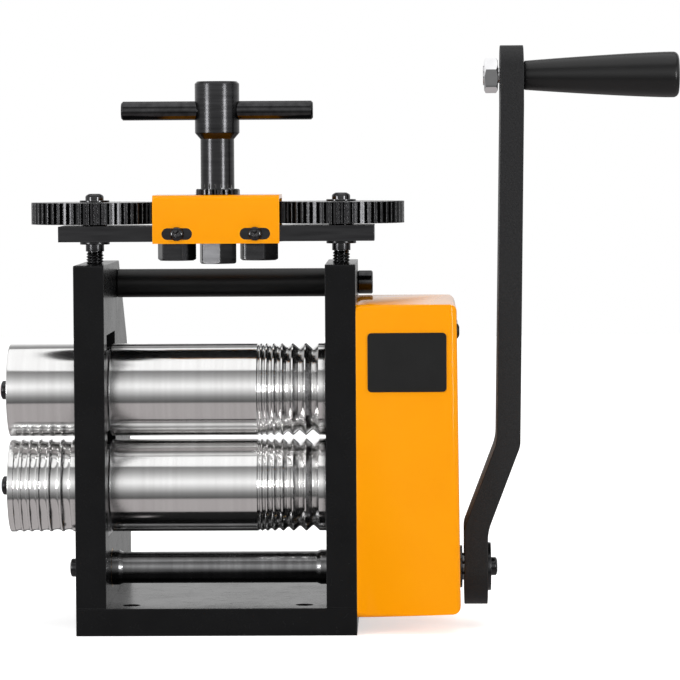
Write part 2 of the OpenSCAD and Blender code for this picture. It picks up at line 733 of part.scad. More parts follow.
module crank_arm() color([0.12, 0.12, 0.12]) difference() {
    intersection() {
        translate([0, roll_y + 2 * arm_hub_r, 0]) rotate([90, 0, 0])
            linear_extrude(4 * arm_hub_r) arm_side_outline();
        union() {
            on_axis(crank_z) rod(2 * arm_hub_r, arm_x - arm_t, arm_top_x + 2 * arm_t);
            on_axis(handle_z) rod(2 * arm_tip_r, arm_x - arm_t, arm_top_x + 2 * arm_t);
            lean = asin((arm_hub_r - arm_tip_r) / crank_l);
            along_x(arm_x - arm_t, arm_top_x + 2 * arm_t) polygon([
                for (s = [-1, 1], end = [s, -s])
                    let (r = end < 0 ? arm_hub_r : arm_tip_r, z = end < 0 ? crank_z : handle_z)
                    [roll_y + s * r * cos(lean), z + r * sin(lean)]]);
        }
    }
    on_axis(crank_z) turned_square(shaft_stub_d + 2 * held_clear, square_af + 2 * held_clear,
                                   arm_x - overrun, arm_outer_x + overrun);
    on_axis(handle_z) rod(handle_bolt_d + 2 * held_clear, arm_x, arm_top_x + 2 * arm_t);
}

module crank_washer() color([0.6, 0.6, 0.62]) on_axis(crank_z) difference() {
    rod(crank_washer_d, arm_outer_x, arm_outer_x + crank_washer_t);
    rod(button_screw_d + 2 * held_clear, arm_outer_x - overrun, arm_outer_x + crank_washer_t + overrun);
}

module crank_screw() color([0.1, 0.1, 0.1]) on_axis(crank_z) {
    rod(button_screw_d, arm_outer_x - 2.5 * button_screw_d, arm_outer_x + crank_washer_t);
    button_head(button_head_d, button_head_h, arm_outer_x + crank_washer_t);
}

nut_x = arm_top_x - bolt_gap - lock_nut_t;
grip_end_x = grip_x + grip_l;
module handle_bolt() color([0.6, 0.6, 0.62]) on_axis(handle_z) difference() {
    union() {
        rod(handle_bolt_d, nut_x - bolt_gap / 2, arm_top_x - bolt_gap);
        rod(0.8 * handle_bolt_d, nut_x, arm_top_x + bolt_gap);
        rod(handle_bolt_d, arm_top_x, grip_end_x - bolt_recess + bolt_head_h / 2);
        rod(0.9 * grip_neck_d, arm_top_x + arm_t, grip_x - face_gap);
        rod(bolt_head_d, grip_end_x - bolt_recess + face_gap, grip_end_x - bolt_recess + bolt_head_h);
    }
    hex_socket(0.45 * bolt_head_d, grip_end_x - bolt_recess + bolt_head_h / 2, grip_end_x + overrun);
}

module handle_lock_nut() color([0.85, 0.85, 0.86]) on_axis(handle_z) difference() {
    translate([0, 0, nut_x]) cylinder(d = lock_nut_af / cos(30), h = lock_nut_t, $fn = 6);
    rod(handle_bolt_d + 2 * held_clear, nut_x - overrun, nut_x + lock_nut_t + overrun);
}

// Grip outline: it widens evenly outwards, less and less towards its rounded end
module handle_grip() color([0.06, 0.06, 0.06]) on_axis(handle_z) difference() {
    belly_share = 0.93;
    steps = 12;
    end_r = 0.125 * grip_d;
    translate([0, 0, grip_x]) rotate_extrude() polygon(concat(
        [[0, 0], [0.46 * grip_neck_d, 0], [grip_neck_d / 2, 0.04 * grip_neck_d]],
        [for (j = [1:steps]) let (t = j / steps)
            [grip_neck_d / 2 + (grip_d - grip_neck_d) / 2 * (1 - pow(1 - t, 1.3)), t * belly_share * grip_l]],
        [for (j = [0:5]) let (a = 18 * j)
            [grip_d / 2 - end_r + end_r * cos(a), grip_l - end_r + end_r * sin(a)]],
        [[0, grip_l]]));
    rod(handle_bolt_d + 2 * run_clear, grip_x - overrun, grip_end_x + overrun);
    rod(bolt_head_d + 20 * run_clear, grip_end_x - bolt_recess, grip_end_x + overrun);
}

// Rolls

function wire_groove_edge(i) = i == 0 ? roll_half - wire_end_land
    : wire_groove_edge(i - 1) - wire_groove_ws[i - 1] - wire_groove_land;
wire_groove_depth_share = 0.33;
roll_edge = 0.5;

// Roll body with its square wire grooves towards the crank side
module grooved_body() rotate_extrude() polygon(concat(
    [[0, -roll_half], [roll_d / 2 - roll_edge, -roll_half], [roll_d / 2, -roll_half + roll_edge]],
    [for (i = [len(wire_groove_ws) - 1:-1:0]) let (x = wire_groove_edge(i), w = wire_groove_ws[i])
        each [[roll_d / 2, x - w], [roll_d / 2 - wire_groove_depth_share * w, x - w / 2], [roll_d / 2, x]]],
    [[roll_d / 2, roll_half - roll_edge], [roll_d / 2 - roll_edge, roll_half], [0, roll_half]]));

// Roll with journals, keyed ends and a screw hole at each end; right_x is its crank side end
module roll_shaft(z, right_x) color([0.62, 0.62, 0.64]) on_axis(z) difference() {
    left_x = outboard_end_x + outboard_washer_t + outboard_end_gap;
    union() {
        grooved_body();
        rod(journal_d, -outer_x - outboard_gap / 2, coupling_x);
        rod(stub_d, left_x, right_x);
    }
    rod(outboard_screw_d + 2 * held_clear, left_x - overrun, left_x + 3 * outboard_screw_d);
    rod(gear_screw_d + 2 * held_clear, right_x + overrun, right_x - 2.5 * gear_screw_d);
    key(stub_d, coupling_x, right_x + overrun);
    key(stub_d, left_x - overrun, outboard_x);
}

module roll_keys(z, right_x) color([0.5, 0.5, 0.52]) on_axis(z) {
    key(stub_d, coupling_x, right_x - shaft_inset);
    key(stub_d, outboard_x - 0.7 * outboard_l, outboard_x);
}

// Washer and button head screw on the crank side end of a roll
module gear_screw(z, right_x) color([0.1, 0.1, 0.1]) on_axis(z) {
    seat = right_x + shaft_inset;
    difference() {
        rod(gear_washer_d, seat, seat + gear_washer_t);
        rod(gear_screw_d + 2 * held_clear, seat - overrun, seat + gear_washer_t + overrun);
    }
    rod(gear_screw_d, right_x - 2 * gear_screw_d, seat + gear_washer_t);
    button_head(gear_screw_head_d, gear_screw_head_h, seat + gear_washer_t);
}

// Washer let into the free end of an outboard roll, and the screw that holds it
module outboard_screw(z) color([0.1, 0.1, 0.1]) on_axis(z) {
    seat = outboard_end_x + outboard_washer_t;
    difference() {
        rod(outboard_washer_d, outboard_end_x, seat);
        rod(outboard_screw_d + 2 * held_clear, outboard_end_x - overrun, seat + overrun);
    }
    rod(outboard_screw_d, outboard_end_x, seat + 2.5 * outboard_screw_d);
    mirror([0, 0, 1]) button_head(outboard_head_d, outboard_head_h, -outboard_end_x);
}

module outboard_bore() {
    rod(stub_d + 2 * held_clear, outboard_end_x - overrun, outboard_x + overrun);
    rod(outboard_washer_d + 2 * held_clear, outboard_end_x - overrun, outboard_end_x + outboard_washer_t);
    key(stub_d, outboard_end_x - overrun, outboard_x + overrun, held_clear);
}

lower_right_x = shaft_end_x - shaft_inset;
upper_right_x = coupling_x + coupling_w - shaft_inset;

module lower_roll() roll_shaft(lower_z, lower_right_x);
module upper_roll() roll_shaft(upper_z, upper_right_x);
module lower_roll_keys() roll_keys(lower_z, lower_right_x);
module upper_roll_keys() roll_keys(upper_z, upper_right_x);
module lower_gear_screw() gear_screw(lower_z, lower_right_x);
module upper_gear_screw() gear_screw(upper_z, upper_right_x);
module half_round_roll_screw() outboard_screw(lower_z);
module plain_roll_screw() outboard_screw(upper_z);

coupling_points = gear_points(coupling_module, coupling_teeth, coupling_angle, coupling_module,
                              coupling_dedendum, 0.03 * coupling_module);
module lower_coupling_gear() color([0.45, 0.45, 0.47]) on_axis(lower_z)
    keyed_gear(coupling_points, 0, coupling_x, coupling_x + coupling_w, stub_d + 2 * held_clear);
module upper_coupling_gear() color([0.45, 0.45, 0.47]) on_axis(upper_z)
    keyed_gear(coupling_points, 180 / coupling_teeth, coupling_x, coupling_x + coupling_w,
               stub_d + 2 * held_clear);

module drive_gear() color([0.45, 0.45, 0.47]) on_axis(lower_z) {
    keyed_gear(gear_points(drive_module, drive_gear_teeth, drive_angle, drive_addendum, drive_dedendum,
                           drive_backlash), 180, drive_x, drive_x + drive_w, stub_d + 2 * held_clear);
    difference() {
        rod(drive_hub_d, coupling_x + coupling_w, drive_x + drive_w / 4);
        rod(stub_d + 2 * held_clear, coupling_x, drive_x + drive_w);
        key(stub_d, coupling_x, drive_x + drive_w, held_clear);
    }
}

module plain_roll() color([0.7, 0.7, 0.72]) on_axis(upper_z) difference() {
    chamfered_rod(roll_d, outboard_end_x, outboard_x, roll_edge);
    outboard_bore();
}

function round_groove_edge(i) = i == 0 ? outboard_end_x + round_end_land
    : round_groove_edge(i - 1) + round_groove_ws[i - 1] + round_groove_land;
round_groove_depth_share = 0.2;
module half_round_roll() color([0.7, 0.7, 0.72]) on_axis(lower_z) difference() {
    groove_steps = 8;
    rotate_extrude() polygon(concat(
        [[0, outboard_end_x], [roll_d / 2 - roll_edge, outboard_end_x],
         [roll_d / 2, outboard_end_x + roll_edge]],
        [for (i = [0:len(round_groove_ws) - 1], j = [0:groove_steps])
            let (x = round_groove_edge(i), w = round_groove_ws[i], t = j / groove_steps)
            [roll_d / 2 - round_groove_depth_share * w * sin(180 * t), x + w * (1 - cos(180 * t)) / 2]],
        [[roll_d / 2, outboard_x - roll_edge], [roll_d / 2 - roll_edge, outboard_x], [0, outboard_x]]));
    outboard_bore();
}

// Roll gap adjuster

module bridge_bar() color([0.2, 0.2, 0.21]) difference() {
    translate([-bar_w / 2, roll_y - bar_d / 2, bar_z]) cube([bar_w, bar_d, bar_t]);
    for (s = [-1, 1]) {
        translate([s * screw_x, roll_y, bar_z - overrun])
            cylinder(d = screw_d + 2 * run_clear, h = bar_t + 2 * overrun);
        translate([s * idler_x, roll_y, bar_z - overrun])
            cylinder(d = idler_shank_d + 2 * held_clear, h = bar_t + 2 * overrun);
    }
    translate([0, roll_y, bar_z - overrun])
        cylinder(d = spindle_shank_d + 2 * run_clear, h = bar_t + 2 * overrun);
    hood_screw_places() rod(hood_screw_d + 2 * held_clear, -2.5 * hood_screw_d, overrun);
}

// Places children on the front and back faces of the bar, their third axis pointing out of the face
module hood_screw_places() for (x = [-1, 1], y = [-1, 1])
    translate([x * hood_screw_x, roll_y + y * bar_d / 2, bar_z + bar_t / 2])
        rotate([-y * 90, 0, 0]) children();

module hood_screws() color([0.15, 0.15, 0.15]) hood_screw_places() {
    rod(hood_screw_d, -2 * hood_screw_d, hood_t);
    difference() {
        translate([0, 0, hood_t]) rotate_extrude() polygon([[0, 0], [hood_head_d / 2, 0],
            [hood_head_d / 2, 0.55 * hood_head_h], [0.36 * hood_head_d, 0.9 * hood_head_h],
            [0.2 * hood_head_d, hood_head_h], [0, hood_head_h]]);
        for (a = [0, 90]) translate([0, 0, hood_t + hood_head_h]) rotate(a)
            cube([0.55 * hood_head_d, 0.13 * hood_head_d, hood_head_h], center = true);
    }
}

module adjuster_hood() color([1, 0.62, 0.1]) difference() {
    r = hood_corner_r;
    inner_r = max(hood_corner_r - hood_t, hood_t / 10);
    half = hood_d / 2;
    wall = half - hood_t;
    along_x(-hood_w / 2, hood_w / 2) translate([roll_y, 0]) polygon(rounded(
        [[-half, hood_z], [-wall, hood_z], [-wall, hood_top_z - hood_t], [wall, hood_top_z - hood_t],
         [wall, hood_z], [half, hood_z], [half, hood_top_z], [-half, hood_top_z]],
        [0, 0, inner_r, inner_r, 0, 0, r, r]));
    translate([0, roll_y, hood_top_z - hood_t - overrun])
        cylinder(r = pinion_tip_r + hood_hole_gap, h = hood_t + 2 * overrun);
    hood_screw_places() {
        slot = hood_slot_w - hood_slot_h;
        translate([-slot / 2, -hood_slot_h / 2, -overrun]) cube([slot, hood_slot_h, hood_t + 2 * overrun]);
        for (s = [-1, 1]) translate([s * slot / 2, 0, 0]) rod(hood_slot_h, -overrun, hood_t + overrun);
    }
}

module idler_bolt(x) color([0.15, 0.15, 0.15]) translate([x, roll_y, 0]) {
    translate([0, 0, bar_z - hex_h]) cylinder(d = hex_af / cos(30), h = hex_h, $fn = 6);
    rod(idler_shank_d, bar_z - hex_h / 2, gear_top_z);
}
module left_idler_bolt() idler_bolt(-idler_x);
module right_idler_bolt() idler_bolt(idler_x);

pinion_tip_r = adjust_module * adjust_pinion_teeth / 2 + adjust_addendum;
adjust_backlash = 0.06 * adjust_module;
small_gear_points = gear_points(adjust_module, adjust_pinion_teeth, adjust_angle, adjust_addendum,
                                adjust_dedendum, adjust_backlash);
large_gear_points = gear_points(adjust_module, adjust_gear_teeth, adjust_angle, adjust_addendum,
                                adjust_dedendum, adjust_backlash);

module idler_gear(x) color([0.3, 0.3, 0.32]) translate([x, roll_y, 0]) difference() {
    union() {
        rod(idler_hub_d, bar_top_z + face_gap, gear_z + overrun);
        translate([0, 0, gear_z]) linear_extrude(adjust_gear_w - idler_clear) polygon(small_gear_points);
    }
    rod(idler_shank_d + 2 * run_clear, bar_top_z - overrun, gear_top_z + overrun);
}
module left_idler_gear() idler_gear(-idler_x);
module right_idler_gear() idler_gear(idler_x);

module t_handle_spindle() color([0.25, 0.25, 0.27]) translate([0, roll_y, 0]) difference() {
    pinion_r = adjust_module * adjust_pinion_teeth / 2 - adjust_dedendum;
    hub_top_z = t_hub_z + t_hub_h;
    union() {
        rod(spindle_shank_d, bar_z - spindle_nut_h + face_gap, gear_z);
        rod(2 * pinion_r, bar_top_z + face_gap, gear_z + overrun);
        translate([0, 0, gear_z]) linear_extrude(pinion_top_z - gear_z) polygon(small_gear_points);
        rod(spindle_d, pinion_top_z - overrun, t_hub_z);
        rotate_extrude() polygon([[0, t_hub_z - hub_taper_h], [spindle_d / 2, t_hub_z - hub_taper_h],
            [t_hub_d / 2, t_hub_z], [t_hub_d / 2, hub_top_z - hub_chamfer],
            [t_hub_d / 2 - hub_chamfer, hub_top_z], [0, hub_top_z]]);
    }
    translate([0, 0, t_bar_z]) rotate([0, 90, 0]) rod(t_bar_d + 2 * held_clear, -t_hub_d, t_hub_d);
    rod(set_screw_d + 2 * held_clear, t_bar_z, hub_top_z + overrun);
}

set_screw_d = 5;
module t_bar_set_screw() color([0.1, 0.1, 0.1]) translate([0, roll_y, 0]) difference() {
    top_z = t_hub_z + t_hub_h - 0.1 * set_screw_d;
    rod(set_screw_d, t_bar_z + t_bar_d / 2 + held_clear, top_z);
    hex_socket(set_screw_d / 2, top_z - set_screw_d / 2, top_z + overrun);
}

module t_bar() color([0.3, 0.3, 0.32]) translate([0, roll_y, t_bar_z]) rotate([0, 90, 0])
    chamfered_rod(t_bar_d, -t_bar_l / 2, t_bar_l / 2, t_bar_d / 12);

module spindle_nut() color([0.15, 0.15, 0.15]) translate([0, roll_y, 0]) difference() {
    translate([0, 0, bar_z - spindle_nut_h]) rotate(30)
        cylinder(d = hex_af / cos(30), h = spindle_nut_h - face_gap, $fn = 6);
    rod(spindle_shank_d + 2 * held_clear, bar_z - spindle_nut_h - overrun, bar_z + overrun);
}

screw_shank_h = 3.6;
module adjusting_screw(x) color([0.3, 0.3, 0.32]) translate([x, roll_y, 0]) difference() {
    flange_top_z = bar_z - face_gap;
    shank_z = flange_top_z - flange_t - screw_shank_h;
    union() {
        chamfered_rod(screw_d, block_top_z + face_gap, shank_z + overrun, 0.07 * screw_d);
        rod(screw_shank_d, shank_z, flange_top_z - flange_t / 2);
        rod(flange_d, flange_top_z - flange_t, flange_top_z);
        rod(screw_d, flange_top_z - flange_t / 2, bar_top_z + face_gap);
        flatted(gear_seat_d, gear_seat_af, bar_top_z, gear_top_z - 0.2 * top_washer_t);
    }
    rod(top_screw_d + 2 * held_clear, gear_top_z - 3.5 * top_screw_d, gear_top_z + overrun);
}
module left_adjusting_screw() adjusting_screw(-screw_x);
module right_adjusting_screw() adjusting_screw(screw_x);

module adjuster_gear(x) color([0.25, 0.25, 0.27]) translate([x, roll_y, 0]) difference() {
    union() {
        translate([0, 0, gear_z]) linear_extrude(adjust_gear_w) polygon(large_gear_points);
        rod(gear_hub_d, bar_top_z + face_gap, gear_z + adjust_gear_w / 2);
    }
    flatted(gear_seat_d + 2 * held_clear, gear_seat_af + 2 * held_clear,
            bar_top_z - overrun, gear_top_z + overrun);
}
module left_adjuster_gear() adjuster_gear(-screw_x);
module right_adjuster_gear() adjuster_gear(screw_x);

module adjuster_top_screw(x) color([0.1, 0.1, 0.1]) translate([x, roll_y, 0]) {
    difference() {
        rod(top_washer_d, gear_top_z, gear_top_z + top_washer_t);
        rod(top_screw_d + 2 * held_clear, gear_top_z - overrun, gear_top_z + top_washer_t + overrun);
    }
    rod(top_screw_d, gear_top_z - 3 * top_screw_d, gear_top_z + top_washer_t);
    button_head(button_head_d, button_head_h, gear_top_z + top_washer_t);
}
module left_adjuster_top_screw() adjuster_top_screw(-screw_x);
module right_adjuster_top_screw() adjuster_top_screw(screw_x);

base_plate();
left_side_plate();
right_side_plate();
side_plate_screws();
tie_bar();
tie_bar_screws();
lower_block_left();
lower_block_right();
lower_roll_bushes();
crank_shaft_bushes();
return_springs();
gear_cover();
gear_cover_screws();
cover_bush();
cover_plate();
crank_shaft();
crank_pinion();
pinion_pin();
crank_shaft_end_screw();
crank_arm();
crank_washer();
crank_screw();
handle_bolt();
handle_lock_nut();
handle_grip();
lower_roll();
lower_roll_keys();
lower_coupling_gear();
drive_gear();
lower_gear_screw();
half_round_roll();
half_round_roll_screw();
upper_block_left();
upper_block_right();
upper_roll_bushes();
upper_roll();
upper_roll_keys();
upper_coupling_gear();
upper_gear_screw();
plain_roll();
plain_roll_screw();
bridge_bar();
adjuster_hood();
hood_screws();
left_idler_bolt();
right_idler_bolt();
t_handle_spindle();
t_bar();
t_bar_set_screw();
spindle_nut();
left_idler_gear();
right_idler_gear();
left_adjusting_screw();
left_adjuster_gear();
left_adjuster_top_screw();
right_adjusting_screw();
right_adjuster_gear();
right_adjuster_top_screw();
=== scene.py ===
import json
import math
import bmesh
import bpy
import numpy as np
from mathutils import Matrix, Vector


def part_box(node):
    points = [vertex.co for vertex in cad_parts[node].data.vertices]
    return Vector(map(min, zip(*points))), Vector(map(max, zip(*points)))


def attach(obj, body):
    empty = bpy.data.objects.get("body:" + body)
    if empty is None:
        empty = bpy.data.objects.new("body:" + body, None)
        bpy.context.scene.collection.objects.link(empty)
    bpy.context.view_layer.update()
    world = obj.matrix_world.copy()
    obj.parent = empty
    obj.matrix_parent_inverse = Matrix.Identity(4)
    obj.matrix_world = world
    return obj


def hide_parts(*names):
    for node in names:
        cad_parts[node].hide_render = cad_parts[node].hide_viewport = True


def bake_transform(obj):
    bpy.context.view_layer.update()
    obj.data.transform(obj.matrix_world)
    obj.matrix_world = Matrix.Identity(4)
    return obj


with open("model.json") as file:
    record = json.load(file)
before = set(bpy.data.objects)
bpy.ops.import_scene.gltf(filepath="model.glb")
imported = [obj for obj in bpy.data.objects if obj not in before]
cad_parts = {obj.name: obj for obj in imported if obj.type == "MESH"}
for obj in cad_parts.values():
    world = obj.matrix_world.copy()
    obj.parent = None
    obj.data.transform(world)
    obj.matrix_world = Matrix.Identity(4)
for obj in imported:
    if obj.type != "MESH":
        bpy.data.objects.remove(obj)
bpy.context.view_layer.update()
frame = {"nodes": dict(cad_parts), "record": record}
print("frame loaded:", len(frame["nodes"]), "nodes")

cad = frame["nodes"]
mm = 0.001
white = (1, 1, 1, 1)


# Helpers for objects and for shader nodes

def addObject(name, data):
    made = bpy.data.objects.new(name, data)
    bpy.context.scene.collection.objects.link(made)
    return made


def standAt(thing, across, up, back, place):
    # Sets a camera or a lamp in its place; both look along minus back
    turn = np.eye(4)
    turn[:3, 0], turn[:3, 1], turn[:3, 2], turn[:3, 3] = across, up, back, place
    thing.matrix_world = Matrix(turn.tolist())


def newMaterial(name):
    material = bpy.data.materials.new(name)
    material.use_nodes = True
    material.node_tree.nodes.clear()
    return material, material.node_tree


def addNode(tree, kind, inputs=None, **settings):
    # Adds a shader node; an input is either a value or the socket that feeds it
    node = tree.nodes.new(kind)
    for key, value in settings.items():
        setattr(node, key, value)
    for key, value in (inputs or {}).items():
        if isinstance(value, bpy.types.NodeSocket):
            tree.links.new(value, node.inputs[key])
        else:
            node.inputs[key].default_value = value
    return node


def mathNode(tree, operation, first, second, **settings):
    return addNode(tree, "ShaderNodeMath", {0: first, 1: second}, operation=operation, **settings).outputs[0]


def between(tree, value, low, high, start=0.3, end=0.7):
    # Spreads start to end, by itself a noise's middle range, over low to high
    return addNode(tree, "ShaderNodeMapRange", {"Value": value, "From Min": start, "From Max": end,
                                               "To Min": low, "To Max": high}).outputs[0]


def noiseAt(tree, place, scale, detail, **more):
    inputs = {"Vector": place, "Scale": scale, "Detail": detail, **more}
    return addNode(tree, "ShaderNodeTexNoise", inputs).outputs["Fac"]


def objectPlace(tree):
    return addNode(tree, "ShaderNodeTexCoord").outputs["Object"]


def mixValues(tree, factor, first, second):
    return addNode(tree, "ShaderNodeMix", {"Factor": factor, "A": first, "B": second}).outputs["Result"]


def mixColours(tree, factor, first, second):
    # Either colour is three numbers or a socket
    first, second = ((*c, 1) if isinstance(c, tuple) else c for c in (first, second))
    return addNode(tree, "ShaderNodeMix", {0: factor, 6: first, 7: second}, data_type="RGBA").outputs[2]


# Stage: camera, room, floor and lights

cameraUser = {
    "lens": 193.13,               # mm, a long studio lens
    "sensor": 36,                 # mm
    "clip": (0.05, 50),           # m
    "place": (0.0966, -1.9284, 0.2428),
    "turnLeft": 1.027,            # degrees
    "lookDown": 2.869,
    "roll": -0.321,
}


def makeCamera(user):
    data = bpy.data.cameras.new("camera")
    data.lens, data.sensor_width = user["lens"], user["sensor"]
    data.clip_start, data.clip_end = user["clip"]
    camera = addObject("camera", data)
    yaw, pitch, roll = (math.radians(v) for v in (user["turnLeft"], -user["lookDown"], user["roll"]))
    right = np.array([math.cos(yaw), math.sin(yaw), 0])
    ahead = np.array([-math.sin(yaw), math.cos(yaw), 0])
    up = np.array([0, 0, 1.0])
    look = ahead * math.cos(pitch) + up * math.sin(pitch)
    top = up * math.cos(pitch) - ahead * math.sin(pitch)
    across = right * math.cos(roll) + top * math.sin(roll)
    head = top * math.cos(roll) - right * math.sin(roll)
    standAt(camera, across, head, -look, user["place"])
    bpy.context.scene.camera = camera


makeCamera(cameraUser)
bpy.context.scene.view_settings.view_transform = "Standard"

roomUser = {
    "skyForLight": 0.58,     # white room seen by matt surfaces
    # Room that polished metal mirrors: height from straight down, 0, to straight up, 1, then light and warmth
    "bands": [(0.0, 0.42, 0.06), (0.2425, 0.42, 0.06), (0.2576, 0.09, 0.0), (0.37, 0.28, 0.0),
              (0.465, 0.60, 0.0), (0.587, 1.05, 0.0), (0.638, 1.0, 0.0), (0.787, 0.45, 0.0),
              (0.883, 0.22, 0.0), (0.894, 1.15, 0.0), (1.0, 1.15, 0.0)],
}


def makeRoom(user):
    # The camera sees plain white, glossy rays see the bands, and all others an even sky
    world = bpy.data.worlds.new("studio")
    bpy.context.scene.world = world
    world.use_nodes = True
    tree = world.node_tree
    tree.nodes.clear()
    coord = addNode(tree, "ShaderNodeTexCoord")
    split = addNode(tree, "ShaderNodeSeparateXYZ", {0: coord.outputs["Generated"]})
    height = between(tree, split.outputs["Z"], 0.0, 1.0, -1.0, 1.0)
    bands = addNode(tree, "ShaderNodeValToRGB", {0: height})
    ramp = bands.color_ramp
    while len(ramp.elements) < len(user["bands"]):
        ramp.elements.new(0.5)
    for element, (place, shade, warmth) in zip(ramp.elements, user["bands"]):
        element.position = place
        element.color = (shade * (1 + warmth), shade, shade, 1)
    path = addNode(tree, "ShaderNodeLightPath")
    room = addNode(tree, "ShaderNodeBackground", {"Color": bands.outputs["Color"]})
    sky = addNode(tree, "ShaderNodeBackground", {"Color": white, "Strength": user["skyForLight"]})
    backdrop = addNode(tree, "ShaderNodeBackground", {"Color": white})
    gloss = addNode(tree, "ShaderNodeMixShader", {0: path.outputs["Is Glossy Ray"], 1: sky.outputs[0],
                                                  2: room.outputs[0]})
    seen = addNode(tree, "ShaderNodeMixShader", {0: path.outputs["Is Camera Ray"], 1: gloss.outputs[0],
                                                 2: backdrop.outputs[0]})
    addNode(tree, "ShaderNodeOutputWorld", {"Surface": seen.outputs[0]})


makeRoom(roomUser)

floorUser = {
    "size": 6.0,        # m
    "shade": 0.93,
    "glow": 0.62,       # keeps the floor white in the picture but for the object's shadow
}


def makeFloor(user):
    material, tree = newMaterial("whiteFloor")
    path = addNode(tree, "ShaderNodeLightPath")
    matt = addNode(tree, "ShaderNodeBsdfDiffuse", {"Color": (user["shade"],) * 3 + (1,)})
    glow = addNode(tree, "ShaderNodeEmission", {"Strength": user["glow"]})
    both = addNode(tree, "ShaderNodeAddShader", {0: matt.outputs[0], 1: glow.outputs[0]})
    pick = addNode(tree, "ShaderNodeMixShader", {0: path.outputs["Is Camera Ray"], 1: matt.outputs[0],
                                                 2: both.outputs[0]})
    addNode(tree, "ShaderNodeOutputMaterial", {"Surface": pick.outputs[0]})
    half = user["size"] / 2
    mesh = bpy.data.meshes.new("floor")
    corners = [(-half, -half, 0), (half, -half, 0), (half, half, 0), (-half, half, 0)]
    mesh.from_pydata(corners, [], [(0, 1, 2, 3)])
    mesh.materials.append(material)
    floor = addObject("floor", mesh)
    floor.visible_glossy = False      # the room's own lower bands stand in for it on polished metal


makeFloor(floorUser)

lampUser = {
    # name: place, aim, width, height, power in watts
    "leftStrip": ((-1.55, -1.75, 0.55), (0, 0, 0.20), 0.24, 1.6, 14.5),
    "rightStrip": ((2.0, -1.35, 0.55), (0, 0, 0.20), 0.28, 1.6, 16.5),
    "topPanel": ((0.1, -0.35, 2.1), (0, 0, 0.15), 1.6, 1.1, 12),
}
cardUser = {
    # The bright cards that upright cylinders mirror, in the same order; they don't light matt surfaces
    "leftCard": ((-1.53, -1.29, 0.24), (0, 0, 0.24), 0.44, 0.5, 11),
    "rightCard": ((1.34, -1.49, 0.24), (0, 0, 0.24), 0.36, 0.5, 10),
}


def makeLamp(name, isCard, place, aim, width, height, power):
    data = bpy.data.lights.new(name, "AREA")
    data.shape = "RECTANGLE"
    data.size, data.size_y = width, height
    data.energy = power
    lamp = addObject(name, data)
    back = np.array(place, float) - np.array(aim, float)
    back /= np.linalg.norm(back)
    side = np.cross([0, 0, 1.0], back)
    side /= np.linalg.norm(side)
    standAt(lamp, side, np.cross(back, side), back, place)
    lamp.visible_camera = False
    lamp.visible_glossy = isCard
    lamp.visible_diffuse = not isCard


for lampName, lampValues in lampUser.items():
    makeLamp(lampName, False, *lampValues)
for cardName, cardValues in cardUser.items():
    makeLamp(cardName, True, *cardValues)
print("stage ready")


# Shader groups that several finishes share

groupUser = {
    "wearSamples": 6,
    "wearLean": (0.995, 0.86),        # cosine of the lean where the lighter edge, wear and painted highlight, starts, and where it is full
    "wearPatch": (0.35, 0.62),        # the noise that breaks the lighter edge up
    "wearLeast": 0.35,                # the lighter edge that is left between the patches
    "cloudRoughness": 0.6,
    "markTwist": 1.2, "markRange": (0.55, 0.75), "markShare": 0.3,
}


def newGroup(name, inputs, outputs):
    group = bpy.data.node_groups.new(name, "ShaderNodeTree")
    for label, value in inputs.items():
        socket = group.interface.new_socket(name=label, in_out="INPUT", socket_type="NodeSocketFloat")
        socket.default_value = value
    for label in outputs:
        group.interface.new_socket(name=label, in_out="OUTPUT", socket_type="NodeSocketFloat")
    given = group.nodes.new("NodeGroupInput").outputs
    return group, given


def endGroup(group, **results):
    addNode(group, "NodeGroupOutput", results)
    return group


def makeEdgeWearAndHighlight(user):
    # Mask of the lighter edges, partly worn edges and partly a painted edge highlight: how far a rounded
    # normal leans away from the true one, broken up by noise
    group, given = newGroup("edgeWear", {"Radius": 0.0006, "Amount": 1.0, "Patch": 120.0}, ["Mask"])
    true = addNode(group, "ShaderNodeNewGeometry")
    soft = addNode(group, "ShaderNodeBevel", {"Radius": given["Radius"]}, samples=user["wearSamples"])
    lean = addNode(group, "ShaderNodeVectorMath", {0: soft.outputs[0], 1: true.outputs["Normal"]},
                   operation="DOT_PRODUCT")
    edge = between(group, lean.outputs["Value"], 0.0, 1.0, *user["wearLean"])
    patch = noiseAt(group, objectPlace(group), given["Patch"], 4.0)
    broken = between(group, patch, user["wearLeast"], 1.0, *user["wearPatch"])
    mask = mathNode(group, "MULTIPLY", edge, broken)
    return endGroup(group, Mask=mathNode(group, "MULTIPLY", mask, given["Amount"], use_clamp=True))


def makeSkin():
    # Height and tone of a sprayed or moulded skin: a fine noise over a broad one
    group, given = newGroup("skin", {"Fine": 1400.0, "Broad": 60.0, "Share": 0.7}, ["Height", "Tone"])
    place = objectPlace(group)
    fine = noiseAt(group, place, given["Fine"], 2.0)
    broad = noiseAt(group, place, given["Broad"], 3.0)
    return endGroup(group, Height=mixValues(group, given["Share"], broad, fine), Tone=broad)


def makeTurnedLines(axis):
    # Lines left by a grinder or a lathe round one axis: noise that changes fast along the axis and slowly
    # across it
    group, given = newGroup("turnedLines" + axis, {"Lines": 5200.0, "Bands": 300.0, "Round": 14.0},
                            ["Height", "Tone"])
    split = addNode(group, "ShaderNodeSeparateXYZ", {0: objectPlace(group)})
    around = [a for a in "XYZ" if a != axis]
    made = []
    for label in ("Lines", "Bands"):
        along = mathNode(group, "MULTIPLY", split.outputs[axis], given[label])
        turns = [mathNode(group, "MULTIPLY", split.outputs[a], given["Round"]) for a in around]
        joined = addNode(group, "ShaderNodeCombineXYZ", {"X": along, "Y": turns[0], "Z": turns[1]})
        made.append(noiseAt(group, joined.outputs[0], 1.0, 2.0))
    return endGroup(group, Height=made[0], Tone=made[1])


